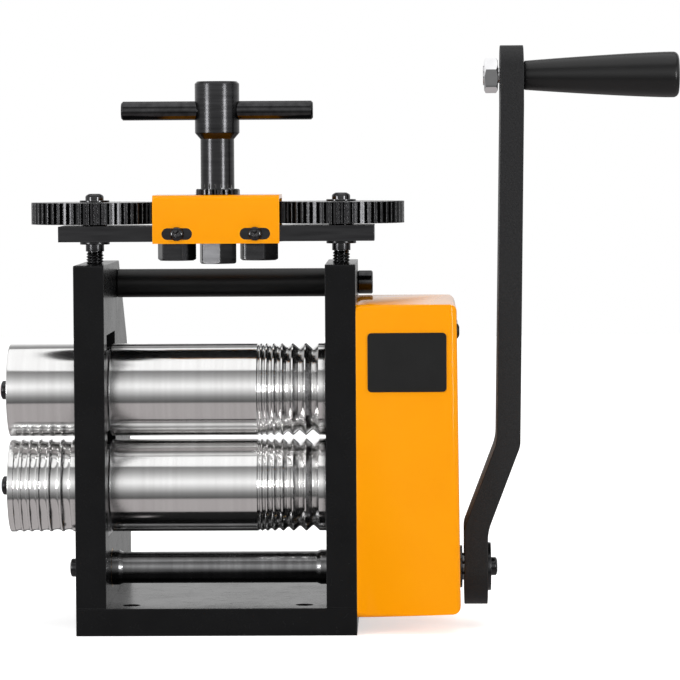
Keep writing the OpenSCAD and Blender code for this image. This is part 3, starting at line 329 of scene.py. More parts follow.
def makeSmudge(user):
    # Tone of handled metal: cloudy patches with a few sharper rubbed marks
    group, given = newGroup("smudge", {"Cloud": 45.0, "Marks": 240.0}, ["Tone"])
    place = objectPlace(group)
    cloud = noiseAt(group, place, given["Cloud"], 5.0, Roughness=user["cloudRoughness"])
    marks = noiseAt(group, place, given["Marks"], 3.0, Distortion=user["markTwist"])
    sharp = between(group, marks, 0.0, 1.0, *user["markRange"])
    return endGroup(group, Tone=mixValues(group, user["markShare"], cloud, sharp))


groups = {"edgeWear": makeEdgeWearAndHighlight(groupUser), "skin": makeSkin(), "smudge": makeSmudge(groupUser),
          "turnedLinesX": makeTurnedLines("X"), "turnedLinesZ": makeTurnedLines("Z")}


def placeGroup(tree, name, values):
    return addNode(tree, "ShaderNodeGroup", values, node_tree=groups[name]).outputs


# Finishes. One function wires them all; a dictionary for each follows. A finish's edge colour, lighter than
# its body, is laid on its edges as wear and as a painted edge highlight

def makeFinish(name, user, metallic):
    material, tree = newMaterial(name)
    grain = placeGroup(tree, user.get("grain", "skin"), user.get("grainValues", {}))
    smudge = placeGroup(tree, "smudge", {})
    # The edge mask lays each finish's lighter edge colour on its edges: partly wear, partly a painted edge
    # highlight
    wear = placeGroup(tree, "edgeWear", user["wear"])
    tone = mixColours(tree, between(tree, grain["Tone"], 0.0, 1.0), user["dark"], user["light"])
    rough = between(tree, smudge["Tone"], *user["roughness"])
    if "lineRough" in user:
        lines = mathNode(tree, "MULTIPLY", grain["Height"], user["lineRough"])
        rough = mathNode(tree, "ADD", rough, lines)
    strength, distance = user["bump"]
    bump = addNode(tree, "ShaderNodeBump", {"Height": grain["Height"], "Strength": strength,
                                            "Distance": distance})
    # Base colour: the random tone, turned to the edge colour under the edge mask, which is partly wear and
    # partly painted highlight
    shader = addNode(tree, "ShaderNodeBsdfPrincipled", {
        "Base Color": mixColours(tree, wear["Mask"], tone, user["edge"]), "Roughness": rough,
        "Metallic": metallic, "Normal": bump.outputs["Normal"],
        "Specular IOR Level": user.get("specular", 0.5)})
    if "along" in user:
        # Grinding lines run round the axis, so reflections blur along it and stay sharp across it
        tangent = addNode(tree, "ShaderNodeTangent", direction_type="RADIAL", axis=user["along"])
        shader.inputs["Anisotropic"].default_value = user["streak"]
        shader.inputs["Anisotropic Rotation"].default_value = 0.25      # a quarter turn
        tree.links.new(tangent.outputs[0], shader.inputs["Tangent"])
    addNode(tree, "ShaderNodeOutputMaterial", {"Surface": shader.outputs[0]})
    return material


# edge: the lighter colour laid on edges, partly wear and partly painted highlight
paintUser = {
    "blackPaint": {
        "dark": (0.0040, 0.0040, 0.0044), "light": (0.0060, 0.0060, 0.0065), "edge": (0.050, 0.050, 0.052),
        "roughness": (0.24, 0.32), "specular": 0.14, "bump": (0.35, 0.00004),
        "grainValues": {"Fine": 1500.0, "Broad": 55.0, "Share": 0.75},
        "wear": {"Radius": 0.0007, "Amount": 0.8, "Patch": 90.0}},
    "orangePaint": {
        "dark": (0.985, 0.345, 0.0004), "light": (1.0, 0.360, 0.0006), "edge": (1.0, 0.46, 0.04),
        "roughness": (0.08, 0.12), "specular": 0.13, "bump": (0.08, 0.00003),
        "grainValues": {"Fine": 900.0, "Broad": 40.0, "Share": 0.7},
        "wear": {"Radius": 0.0008, "Amount": 0.5, "Patch": 60.0}},
    "texturedBlack": {
        "dark": (0.0090, 0.0090, 0.0096), "light": (0.0190, 0.0190, 0.0200), "edge": (0.055, 0.055, 0.057),
        "roughness": (0.50, 0.62), "specular": 0.24, "bump": (0.9, 0.00018),
        "grainValues": {"Fine": 1300.0, "Broad": 1900.0, "Share": 0.5},
        "wear": {"Radius": 0.0008, "Amount": 0.5, "Patch": 200.0}},
    "gripPlastic": {
        "dark": (0.0045, 0.0045, 0.0047), "light": (0.0058, 0.0058, 0.0060), "edge": (0.020, 0.020, 0.021),
        "roughness": (0.30, 0.36), "specular": 0.42, "bump": (0.2, 0.00003),
        "grainValues": {"Fine": 700.0, "Broad": 50.0, "Share": 0.6},
        "wear": {"Radius": 0.0005, "Amount": 0.25, "Patch": 90.0}},
    "blackSheet": {
        "dark": (0.0045, 0.0045, 0.0047), "light": (0.0068, 0.0068, 0.0070), "edge": (0.030, 0.030, 0.031),
        "roughness": (0.36, 0.46), "specular": 0.30, "bump": (0.2, 0.00003),
        "grainValues": {"Fine": 1700.0, "Broad": 70.0, "Share": 0.7},
        "wear": {"Radius": 0.0003, "Amount": 0.4, "Patch": 90.0}},
}

# edge: the lighter colour laid on edges, partly wear and partly painted highlight
metalUser = {
    "rollSteel": {
        "grain": "turnedLinesX", "grainValues": {"Lines": 4200.0, "Bands": 420.0, "Round": 10.0},
        "dark": (0.80, 0.795, 0.79), "light": (0.86, 0.857, 0.853), "edge": (0.90, 0.90, 0.90),
        "roughness": (0.15, 0.18), "lineRough": 0.02, "bump": (0.12, 0.00001), "along": "X", "streak": 0.85,
        "wear": {"Radius": 0.0004, "Amount": 0.5, "Patch": 150.0}},
    "brightSteel": {
        "grain": "turnedLinesX", "dark": (0.52, 0.52, 0.53), "light": (0.62, 0.62, 0.63),
        "edge": (0.8, 0.8, 0.8), "roughness": (0.16, 0.24), "lineRough": 0.05, "bump": (0.25, 0.00001),
        "wear": {"Radius": 0.0004, "Amount": 0.6, "Patch": 150.0}},
    "greyShaft": {
        "grain": "turnedLinesX", "dark": (0.19, 0.19, 0.193), "light": (0.27, 0.27, 0.274),
        "edge": (0.42, 0.42, 0.43), "roughness": (0.18, 0.25), "lineRough": 0.05,
        "bump": (0.25, 0.00001), "wear": {"Radius": 0.0004, "Amount": 0.7, "Patch": 150.0}},
    "blockSteel": {
        "grain": "skin", "grainValues": {"Fine": 1900.0, "Broad": 90.0, "Share": 0.6},
        "dark": (0.30, 0.30, 0.31), "light": (0.42, 0.42, 0.43), "edge": (0.65, 0.65, 0.66),
        "roughness": (0.26, 0.38), "bump": (0.3, 0.00002),
        "wear": {"Radius": 0.0005, "Amount": 0.7, "Patch": 110.0}},
    "gearSteel": {
        "grain": "skin", "grainValues": {"Fine": 1600.0, "Broad": 110.0, "Share": 0.6},
        "dark": (0.26, 0.26, 0.27), "light": (0.36, 0.36, 0.37), "edge": (0.62, 0.62, 0.63),
        "roughness": (0.24, 0.36), "bump": (0.3, 0.00002),
        "wear": {"Radius": 0.0004, "Amount": 0.8, "Patch": 160.0}},
    "springSteel": {
        "grain": "skin", "grainValues": {"Fine": 2400.0, "Broad": 300.0, "Share": 0.5},
        "dark": (0.34, 0.34, 0.35), "light": (0.50, 0.50, 0.51), "edge": (0.7, 0.7, 0.7),
        "roughness": (0.22, 0.32), "bump": (0.2, 0.00001),
        "wear": {"Radius": 0.0002, "Amount": 0.4, "Patch": 200.0}},
    "blackenedSteel": {
        "grain": "turnedLinesZ", "grainValues": {"Lines": 3800.0, "Bands": 700.0, "Round": 40.0},
        "dark": (0.034, 0.034, 0.0355), "light": (0.052, 0.052, 0.054), "edge": (0.28, 0.28, 0.285),
        "roughness": (0.20, 0.26), "lineRough": 0.04, "bump": (0.10, 0.000006),
        "wear": {"Radius": 0.0004, "Amount": 0.75, "Patch": 260.0}},
    "blackScrews": {
        "grain": "skin", "grainValues": {"Fine": 1500.0, "Broad": 260.0, "Share": 0.5},
        "dark": (0.038, 0.038, 0.039), "light": (0.070, 0.070, 0.072), "edge": (0.36, 0.36, 0.365),
        "roughness": (0.15, 0.22), "bump": (0.25, 0.00002),
        "wear": {"Radius": 0.0003, "Amount": 0.7, "Patch": 300.0}},
    "bronze": {
        "grain": "turnedLinesX", "dark": (0.46, 0.29, 0.12), "light": (0.58, 0.39, 0.18),
        "edge": (0.75, 0.56, 0.32), "roughness": (0.26, 0.38), "lineRough": 0.05, "bump": (0.25, 0.00001),
        "wear": {"Radius": 0.0003, "Amount": 0.6, "Patch": 150.0}},
    "chromeNut": {
        "grain": "skin", "grainValues": {"Fine": 900.0, "Broad": 200.0, "Share": 0.4},
        "dark": (0.78, 0.78, 0.79), "light": (0.88, 0.88, 0.89), "edge": (0.95, 0.95, 0.95),
        "roughness": (0.05, 0.10), "bump": (0.15, 0.00002),
        "wear": {"Radius": 0.0003, "Amount": 0.3, "Patch": 200.0}},
}

finishes = {name: makeFinish(name, user, 0.0) for name, user in paintUser.items()}
finishes.update({name: makeFinish(name, user, 1.0) for name, user in metalUser.items()})

# Nodes whose own finish differs from their slot's
otherFinish = {"tie_bar": "blackSheet", "crank_shaft": "greyShaft", "cover_bush": "blackScrews",
               "crank_washer": "blackScrews", "t_bar": "blackScrews"}
slotOf = {row["node"]: row["material_slot"] for row in frame["record"]["subparts"]}
bodyOf = {node: body for body, nodes in frame["record"]["behaviour"]["bodies"].items() for node in nodes}


def camel(words):
    # The record's names are in words joined by underscores
    first, *others = words.split("_")
    return first + "".join(word.title() for word in others)


def dress(piece, node):
    piece.data.materials.clear()
    piece.data.materials.append(finishes[otherFinish.get(node, camel(slotOf[node]))])


for nodeName in slotOf:
    dress(cad[nodeName], nodeName)
print("finishes ready")


# Surfaces. Each new piece is one or more closed grids, worked out as whole arrays, in millimetres

rollY = -43.0
turnCircle = 2 * np.pi


def boxOf(node):
    low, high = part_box(node)
    return np.array(low) / mm, np.array(high) / mm


def anglesOf(count):
    return turnCircle * np.arange(count) / count


def gridFaces(rows, columns, loop=False):
    # Quads between neighbouring rows and columns; columns always close, rows only on a loop
    i = np.arange(rows if loop else rows - 1)[:, None]
    j = np.arange(columns)[None, :]
    after, beside = (i + 1) % rows, (j + 1) % columns
    corners = (i * columns + j, i * columns + beside, after * columns + beside, after * columns + j)
    return np.stack(np.broadcast_arrays(*corners), -1).reshape(-1, 4)


def ringSurface(rows, columns, axis, centre, loop=False):
    # Rings round an axis: row i is (place on the axis, distance from it), and either may be an array of one
    # value for each column; column j stands at the angle 2 pi j / columns. The surface starts and ends in a
    # pole on the axis, or on a loop joins its last row to its first
    if not loop:
        rows = [(rows[0][0], 0.0), *rows, (rows[-1][0], 0.0)]
    along = np.stack([np.zeros(columns) + place for place, distance in rows])
    out = np.stack([np.zeros(columns) + distance for place, distance in rows])
    angle = anglesOf(columns)
    across, up = out * np.cos(angle), out * np.sin(angle)
    order = {"X": (along, across, up), "Y": (up, along, across), "Z": (across, up, along)}[axis]
    points = np.stack(order, -1).reshape(-1, 3) + np.array(centre, float)
    return points, gridFaces(len(rows), columns, loop)


def mirrored(part, axis, place):
    # The same closed grid seen in a mirror across one axis, its faces turned to point outwards again
    points, faces = part
    points = points.copy()
    points[:, axis] = 2 * place - points[:, axis]
    return points, faces[:, ::-1]


def softened(profile, steps=4, straight=-0.9995, reachShare=0.48):
    # A profile's points are two places and a radius. Its inner corners are rounded:
    # (1-s)^2 start + 2 s (1-s) corner + s^2 end, where start and end lie on the two sides at the distance
    # that an arc of this radius would leave them, but never past this share of a side
    points = [np.array(p[:2], float) for p in profile]
    radii = [p[2] for p in profile]
    s = np.linspace(0, 1, steps + 1)[:, None]
    made = [points[0][None]]
    for before, corner, after, r in zip(points, points[1:], points[2:], radii[1:]):
        one, two = before - corner, after - corner
        longOne, longTwo = np.linalg.norm(one), np.linalg.norm(two)
        cosine = np.clip(one @ two / (longOne * longTwo), -1, 1)
        if r <= 0 or cosine < straight:
            made.append(corner[None])
            continue
        reach = min(r / math.tan(math.acos(cosine) / 2), reachShare * min(longOne, longTwo))
        start, end = corner + one / longOne * reach, corner + two / longTwo * reach
        made.append((1 - s) ** 2 * start + 2 * s * (1 - s) * corner + s ** 2 * end)
    made.append(points[-1][None])
    return [tuple(p) for p in np.concatenate(made)]


def standFor(piece, node):
    # The piece takes the node's place, slot and finish
    dress(piece, node)
    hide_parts(node)


def smoothUpTo(mesh, degrees):
    mesh.shade_smooth()
    mesh.set_sharp_from_angle(angle=math.radians(degrees))


def makePiece(name, parts, node, sharp=32):
    # Joins closed grids into one mesh, merges what meets in a pole, and keeps edges past sharp degrees crisp
    counts = np.cumsum([0] + [len(points) for points, faces in parts])
    points = np.concatenate([points for points, faces in parts]) * mm
    faces = np.concatenate([faces + start for (held, faces), start in zip(parts, counts)])
    mesh = bpy.data.meshes.new(name)
    mesh.from_pydata(points.tolist(), [], faces.tolist())
    grid = bmesh.new()
    grid.from_mesh(mesh)
    bmesh.ops.remove_doubles(grid, verts=grid.verts, dist=1e-7)
    grid.to_mesh(mesh)
    grid.free()
    smoothUpTo(mesh, sharp)
    piece = addObject(name, mesh)
    standFor(piece, node)
    return piece


def ridingPiece(name, parts, node, sharp=32):
    piece = makePiece(name, parts, node, sharp)
    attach(piece, bodyOf[node])


# Rolls: turned on one axis, with grooves whose edges and floors are rounded

rollUser = {
    "radius": 24.0, "half": 55.5, "edge": 0.5, "journalRadius": 12.5, "stubRadius": 10.0, "stubEdge": 0.6,
    "journalEnds": (-72.0, 74.0), "stubStart": -105.2, "screwHole": (3.02, 18.0), "endHole": (4.02, 20.0),
    "holeEdge": 0.3,
    "wireWidths": (6.5, 5.9, 4.7, 3.6, 3.0, 2.1, 1.7), "wireLand": 0.7, "wireEnd": 3.7,
    "wireFloor": (0.85, 0.3), "wireCrest": (0.3, 0.12),      # greatest radius, and share of the width
    "wireDepthShare": 0.46, "columns": 128, "sharp": 40,
}


def wireGrooves(user):
    # From the narrow end: each groove is two slanted sides that meet in a round floor
    edge = user["half"] - user["wireEnd"]
    (floor, floorShare), (crest, crestShare) = user["wireFloor"], user["wireCrest"]
    corners = []
    for width in user["wireWidths"]:
        depth = user["wireDepthShare"] * width
        top = min(crest, crestShare * width)
        corners = [(edge - width, user["radius"], top),
                   (edge - width / 2, user["radius"] - depth, min(floor, floorShare * width)),
                   (edge, user["radius"], top)] + corners
        edge -= width + user["wireLand"]
    return corners


def mainRoll(name, node, user):
    low, high = boxOf(node)
    z = (low[2] + high[2]) / 2
    left, right = user["stubStart"], high[0]
    journalLeft, journalRight = user["journalEnds"]
    r, half, stub, journal = user["radius"], user["half"], user["stubRadius"], user["journalRadius"]
    holeR, holeL = user["screwHole"]
    endR, endL = user["endHole"]
    edge, stubEdge, holeEdge = user["edge"], user["stubEdge"], user["holeEdge"]
    profile = softened(
        [(left + holeL, holeR, 0), (left, holeR, holeEdge), (left, stub, stubEdge), (journalLeft, stub, 0),
         (journalLeft, journal, edge), (-half, journal, 0), (-half, r, edge),
         *wireGrooves(user),
         (half, r, edge), (half, journal, 0), (journalRight, journal, edge), (journalRight, stub, 0),
         (right, stub, stubEdge), (right, endR, holeEdge), (right - endL, endR, 0)])
    ridingPiece(name, [ringSurface(profile, user["columns"], "X", (0, rollY, z))], node, user["sharp"])


mainRoll("lowerRollTurned", "lower_roll", rollUser)
mainRoll("upperRollTurned", "upper_roll", rollUser)

outboardUser = {
    "radius": 24.0, "edge": 0.55, "bore": 10.02, "boreEdge": 0.25, "recess": (13.02, 2.0), "inner": -72.5,
    "grooveWidths": (3.3, 3.3, 4.0, 4.3, 5.2, 5.1), "grooveLand": 0.9, "grooveStart": 2.8,
    "grooveDepthShare": 0.2, "groovePower": 1.15, "grooveSteps": 13, "columns": 128, "sharp": 40,
}


def outboardRoll(name, node, user, grooved):
    # Sleeve with a recess for its washer; a groove follows half a sine wave, a little narrowed, and
    # neighbours meet in a narrow ridge
    low, high = boxOf(node)
    z, end = (low[2] + high[2]) / 2, low[0]
    r, inner = user["radius"], user["inner"]
    body = []
    place = end + user["grooveStart"]
    for width in user["grooveWidths"] if grooved else ():
        s = np.linspace(0, 1, user["grooveSteps"])
        dip = user["grooveDepthShare"] * width * np.sin(np.pi * s) ** user["groovePower"]
        body += [(place + width * (1 - math.cos(math.pi * t)) / 2, r - d, 0) for t, d in zip(s, dip)]
        place += width + user["grooveLand"]
    (recessR, recessL), bore, boreEdge = user["recess"], user["bore"], user["boreEdge"]
    outside = softened([(end + recessL, recessR, 0), (end, recessR, boreEdge), (end, r, user["edge"]), *body,
                        (inner, r, user["edge"]), (inner, bore, boreEdge), (end + recessL, bore, 0)])
    ridingPiece(name, [ringSurface(outside, user["columns"], "X", (0, rollY, z), loop=True)], node,
                user["sharp"])


outboardRoll("plainRollTurned", "plain_roll", outboardUser, False)
outboardRoll("halfRoundRollTurned", "half_round_roll", outboardUser, True)
print("rolls ready")


# Grip: a moulded body of revolution, widening less and less outwards

gripUser = {
    "neckRadius": 7.5, "neckEdge": 0.7, "radius": 11.75, "endRadius": 2.9, "bulge": 1.3, "bellyShare": 0.93,
    "bore": 5.04, "boreEdge": 0.2, "headRecess": (7.9, 9.0), "recessEdge": 0.4,
    "barrelSteps": 32, "tipSteps": 9, "columns": 96, "sharp": 50,
}


def makeGrip(user):
    # Radius at share t of the length: neck + (greatest - neck) (1 - (1 - t)^bulge)
    low, high = boxOf("handle_grip")
    z, start, end = (low[2] + high[2]) / 2, low[0], high[0]
    belly = user["bellyShare"] * (end - start)
    t = np.linspace(0, 1, user["barrelSteps"] + 1)[1:]
    swell = user["neckRadius"] + (user["radius"] - user["neckRadius"]) * (1 - (1 - t) ** user["bulge"])
    barrel = [(start + s * belly, r, 0) for s, r in zip(t, swell)]
    a = np.linspace(0, np.pi / 2, user["tipSteps"])
    e = user["endRadius"]
    tip = [(end - e + e * math.sin(v), user["radius"] - e + e * math.cos(v), 0) for v in a]
    recessR, recessL = user["headRecess"]
    profile = softened([(end - recessL, user["bore"], 0), (start, user["bore"], user["boreEdge"]),
                        (start, user["neckRadius"], user["neckEdge"]), *barrel, *tip,
                        (end, recessR, user["recessEdge"]), (end - recessL, recessR, 0)])
    ridingPiece("gripMoulded", [ringSurface(profile, user["columns"], "X", (0, rollY, z), loop=True)],
                "handle_grip", user["sharp"])


makeGrip(gripUser)


# T-handle: spindle, pinion and hub are one turned piece; its bar is another

spindleUser = {
    "shank": 6.0, "shankEdge": 0.6, "seat": 9.0, "seatGap": 0.1, "spindle": 8.7,
    "hub": 11.5, "hubLong": 26.5, "hubTaper": 3.2, "hubEdge": 1.2, "socketRadius": 2.5, "socketDepth": 2.5,
    "pinionRoot": 9.1, "pinionTip": 11.37, "pinionPitch": 10.62, "teeth": 17, "flank": 2.3, "play": 0.14,
    "pinionLift": 0.9, "rise": 3.0, "toothEdge": 0.5, "lowTip": 10.6, "highTip": 10.7,
    "runOut": 4.8, "runOutRoot": 8.35, "runOutFade": 1.1, "runOutSteps": 10,
    "columnsPerTooth": 18, "sharp": 28,
}
boxes = {"bar": boxOf("bridge_bar"), "hood": boxOf("adjuster_hood"), "gear": boxOf("left_adjuster_gear")}


def toothRadius(angle, root, user):
    # Outline of a small gear round its axis: pitch radius + flank x (quarter tooth - play - distance from
    # the tooth's middle, along the pitch circle), held between root and tip
    spacing = turnCircle / user["teeth"]
    pitch = user["pinionPitch"]
    off = np.abs((angle + spacing / 2) % spacing - spacing / 2) * pitch
    flank = user["flank"] * (spacing * pitch / 4 - user["play"] - off)
    return np.clip(pitch + flank, root, user["pinionTip"])


def makeSpindle(user):
    low, high = boxOf("t_handle_spindle")
    bottom, top = low[2], high[2]
    seatTop = boxes["bar"][1][2] + user["seatGap"]
    pinionLow = boxes["gear"][0][2] + user["pinionLift"]
    pinionHigh = boxes["hood"][1][2] + user["rise"]
    hubBottom = top - user["hubLong"]
    columns = user["teeth"] * user["columnsPerTooth"]
    angle = anglesOf(columns)
    teeth, deep = (toothRadius(angle, user[root], user) for root in ("pinionRoot", "runOutRoot"))
    # The cutter leaves each gap on an arc: the groove's depth in the spindle fades with height squared
    faded = [(pinionHigh + user["runOut"] * c,
              np.minimum(user["spindle"], deep + user["runOutFade"] * c ** 2))
             for c in np.linspace(0, 1, user["runOutSteps"])]
    hub = softened([(hubBottom - user["hubTaper"], user["spindle"], 0.6), (hubBottom, user["hub"], 0.5),
                    (top - user["hubEdge"], user["hub"], 0.25), (top, user["hub"] - user["hubEdge"], 0.25),
                    (top, user["socketRadius"], 0.2), (top - user["socketDepth"], user["socketRadius"], 0)])
    shank, edge, toothEdge = user["shank"], user["shankEdge"], user["toothEdge"]
    rows = [(bottom, shank - edge), (bottom + edge, shank), (seatTop, shank), (seatTop, user["seat"]),
            (pinionLow, user["seat"]), (pinionLow, np.minimum(teeth, user["lowTip"])),
            (pinionLow + toothEdge, teeth), (pinionHigh - toothEdge, teeth),
            (pinionHigh, np.minimum(teeth, user["highTip"])), *faded, *hub]
    ridingPiece("spindleCut", [ringSurface(rows, columns, "Z", (0, rollY, 0))], "t_handle_spindle",
                user["sharp"])


makeSpindle(spindleUser)

barUser = {"radius": 4.9, "edge": 0.9, "dish": 0.6, "soft": 0.2, "columns": 64, "sharp": 50}


def makeTBar(user):
    low, high = boxOf("t_bar")
    z, left, right = (low[2] + high[2]) / 2, low[0], high[0]
    r, e, soft = user["radius"], user["edge"], user["soft"]
    profile = softened([(left, r - e - user["dish"], 0), (left, r - e, soft), (left + e, r, soft),
                        (right - e, r, soft), (right, r - e, soft), (right, r - e - user["dish"], 0)])
    ridingPiece("tBarTurned", [ringSurface(profile, user["columns"], "X", (0, rollY, z))], "t_bar",
                user["sharp"])


makeTBar(barUser)


# Adjusting screws with their threads

threadUser = {
    "pitch": 1.5, "crest": 4.48, "root": 3.75, "rowsPerTurn": 10, "columns": 48, "sharp": 35,
    "steepness": 1.35, "flatRoot": 0.1,      # of the thread's triangle wave, then held between 0 and 1
    "collar": (4.75, 3.6), "flange": (7.7, 1.5), "edge": 0.35, "through": 4.5, "throughEdge": 0.2,
    "seat": 3.55, "gap": 0.1,
}


def adjustingScrew(name, node, user):
    # Thread radius: root + (crest - root) w, where w is a flattened triangle wave of
    # height / pitch - angle / (2 pi), so that the ridge climbs with the turn
    low, high = boxOf(node)
    x, bottom, top = (low[0] + high[0]) / 2, low[2], high[2]
    flangeTop = boxes["bar"][0][2] - user["gap"]
    seat = boxes["bar"][1][2] + user["gap"]
    collarR, collarL = user["collar"]
    flangeR, flangeT = user["flange"]
    flangeLow = flangeTop - flangeT
    collar = flangeLow - collarL
    count = int((collar - bottom) / user["pitch"] * user["rowsPerTurn"])
    heights = np.linspace(bottom, collar, count)
    angle = anglesOf(user["columns"])
    phase = (heights[:, None] / user["pitch"] - angle / turnCircle) % 1
    wave = np.clip(user["steepness"] * (1 - np.abs(2 * phase - 1)) - user["flatRoot"], 0, 1)
    # The thread starts and ends within one turn of its two ends
    fade = np.clip(np.minimum(heights - bottom, collar - heights) / user["pitch"], 0, 1)[:, None]
    cut = user["root"] + (user["crest"] - user["root"]) * wave * fade
    edge, through = user["edge"], user["through"]
    turned = softened([(collar, user["root"], 0), (collar, collarR, edge), (flangeLow, collarR, 0),
                       (flangeLow, flangeR, edge), (flangeTop, flangeR, edge), (flangeTop, through, 0),
                       (seat, through, user["throughEdge"]), (seat, user["seat"], 0),
                       (top, user["seat"], 0)])
    rows = [*zip(heights, cut), *turned]
    ridingPiece(name, [ringSurface(rows, user["columns"], "Z", (x, rollY, 0))], node, user["sharp"])


adjustingScrew("leftScrewThreaded", "left_adjusting_screw", threadUser)
adjustingScrew("rightScrewThreaded", "right_adjusting_screw", threadUser)
print("spindle and screws ready")


# Hexagons: a nut or bolt head whose corners are turned off at both ends

hexUser = {
    "columns": 96, "flats": 17.9, "nutFlats": 16.0, "faceShare": 0.96, "cone": 30, "sharp": 18,
    "headDrop": 1.8,         # the heads below the bar are this much taller than the CAD's standard ones
    "boltRadius": 5.0, "boltEdge": 0.5, "boltHole": 4.0,
    "bores": {"handle_lock_nut": 5.02, "spindle_nut": 6.02}, "boreEdge": 0.5,
    # Degrees from a side that faces along the first column
    "turns": {"left_idler_bolt": 17.6, "spindle_nut": 9.0, "right_idler_bolt": 15.6, "handle_lock_nut": 11.0},
}


def hexRadius(columns, flats, turned):
    # Distance from the axis to the hexagon's side: half the flats over the cosine of the angle from the
    # middle of the nearest side
    sixth = math.pi / 3
    angle = anglesOf(columns)
    return flats / 2 / np.cos((angle - turned + sixth / 2) % sixth - sixth / 2)


def hexRows(start, end, flats, node, user):
    # The turned-off corners are a cone, which meets each side in a curve
    side = hexRadius(user["columns"], flats, math.radians(user["turns"][node]))
    face = user["faceShare"] * flats / 2
    drop = (side - face) * math.tan(math.radians(user["cone"]))
    return [(start, face), (start + drop, side), (end - drop, side), (end, face)]


def idlerBolt(name, node, user):
    low, high = boxOf(node)
    x = (low[0] + high[0]) / 2
    head = boxes["bar"][0][2]
    bolt = user["boltRadius"]
    rows = hexRows(low[2] - user["headDrop"], head, user["flats"], node, user)
    rows += softened([(head, bolt, 0), (high[2], bolt, user["boltEdge"]), (high[2], user["boltHole"], 0)])
    ridingPiece(name, [ringSurface(rows, user["columns"], "Z", (x, rollY, 0))], node, user["sharp"])


idlerBolt("leftIdlerBoltTurned", "left_idler_bolt", hexUser)
idlerBolt("rightIdlerBoltTurned", "right_idler_bolt", hexUser)


def nutPiece(name, node, axis, flats, drop, user):
    low, high = boxOf(node)
    at = (low + high) / 2
    number = "XYZ".index(axis)
    at[number] = 0
    start, end = low[number] - drop, high[number]
    bore, edge = user["bores"][node], user["boreEdge"]
    rows = hexRows(start, end, flats, node, user)
    rows += [(end, bore + edge), (end - edge, bore), (start + edge, bore), (start, bore + edge)]
    ridingPiece(name, [ringSurface(rows, user["columns"], axis, at, loop=True)], node, user["sharp"])


nutPiece("lockNutTurned", "handle_lock_nut", "X", hexUser["nutFlats"], 0, hexUser)
nutPiece("spindleNutTurned", "spindle_nut", "Z", hexUser["flats"], hexUser["headDrop"], hexUser)


# Small screws: round heads with a hexagon socket, and pan heads with a cross

screwUser = {
    # Each washer: thickness, radius, bore and edge; one without a radius fills its node's box
    "crank_screw": {"name": "crankScrewTurned", "reach": 14.5},
    "half_round_roll_screw": {"name": "halfRoundScrewTurned", "side": -1, "reach": 16.5, "width": 9.7,
                              "height": 5.0, "edge": 1.0, "washer": (2.0, 13.0, 3.05, 0.25)},
    "plain_roll_screw": {"name": "plainScrewTurned", "side": -1, "reach": 16.5, "width": 9.7,
                         "height": 5.0, "edge": 1.0, "washer": (2.0, 13.0, 3.05, 0.25)},
    "left_adjuster_top_screw": {"name": "leftTopScrewTurned", "axis": "Z", "shank": 2.0, "reach": 12.0,
                                "edge": 1.4, "dome": 0.3, "washer": (1.0, None, 2.05, 0.2)},
    "right_adjuster_top_screw": {"name": "rightTopScrewTurned", "axis": "Z", "shank": 2.0, "reach": 12.0,
                                 "edge": 1.4, "dome": 0.3, "washer": (1.0, None, 2.05, 0.2)},
    "crank_shaft_end_screw": {"name": "shaftEndScrewTurned", "side": -1, "reach": 12.0,
                              "washer": (1.5, 9.0, 3.05, 0.25)},
}
commonScrew = {"axis": "X", "side": 1, "shank": 3.0, "tipEdge": 0.4, "width": 9.5, "height": 3.4, "edge": 1.1,
               "dome": 0.18, "crownShare": 0.62, "crownEdge": 0.8, "key": 0.42, "socketEdge": 0.15,
               "socketDepth": 0.55, "washer": None, "columns": 72}


def socketHead(seat, user):
    # Rows of a head that stands on seat and points up its axis: a wall, a round edge, a slight dome, and a
    # hexagon socket whose wall is straight
    r, top, key = user["width"] / 2, seat + user["height"], user["key"] * user["width"]
    shoulder = seat + user["height"] * (1 - user["dome"])
    outside = softened([(seat, r, 0), (shoulder, r, user["edge"]),
                        (top, user["crownShare"] * r, user["crownEdge"]), (top, user["crownShare"] * key, 0)])
    hexagon = hexRadius(user["columns"], key, 0)
    floor = top - user["socketDepth"] * user["height"]
    edge = user["socketEdge"]
    return outside + [(top, hexagon + edge), (top - edge, hexagon), (floor, hexagon),
                      (floor - 2 * edge, 0.2 * r)]


def socketScrew(node, user):
    # Made with its head up the axis, and mirrored at its seat where the head faces the other way
    low, high = boxOf(node)
    number, side, columns = "XYZ".index(user["axis"]), user["side"], user["columns"]
    seat = (high if side > 0 else low)[number] - side * user["height"]
    at = (low + high) / 2
    at[number], at[1] = 0, rollY
    start, shank, edge = seat - user["reach"], user["shank"], user["tipEdge"]
    rows = softened([(start, shank - edge, 0), (start + edge, shank, 0), (seat, shank, 0),
                     (seat, user["width"] / 2, 0.2)])[:-1]
    parts = [ringSurface(rows + socketHead(seat, user), columns, user["axis"], at)]
    if user["washer"]:
        thick, radius, bore, soft = user["washer"]
        radius = radius or (high[0] - low[0]) / 2
        ring = softened([(seat - thick, bore, 0), (seat - thick, radius, soft), (seat, radius, soft),
                         (seat, bore, 0)])
        parts.append(ringSurface(ring, columns, user["axis"], at, loop=True))
    if side < 0:
        parts = [mirrored(part, number, seat) for part in parts]
    ridingPiece(user["name"], parts, node)


for screwNode, screwValues in screwUser.items():
    socketScrew(screwNode, {**commonScrew, **screwValues})

panUser = {
    "head": 3.55, "height": 2.4, "fall": 0.42, "edge": 0.15, "shank": 2.0, "reach": 10.0, "tip": (0.4, 0.6),
    "armWidth": 0.5, "armLength": 2.05, "armSides": 0.12, "armEnds": 0.25, "depth": 1.5, "shoal": 0.35,
    "columns": 96, "sharp": 40,
    # Place along the bar, then the turns of the back and the front cross
    "screws": ((-20.0, 0.35, -0.5), (20.0, 0.2, 0.9)),
}


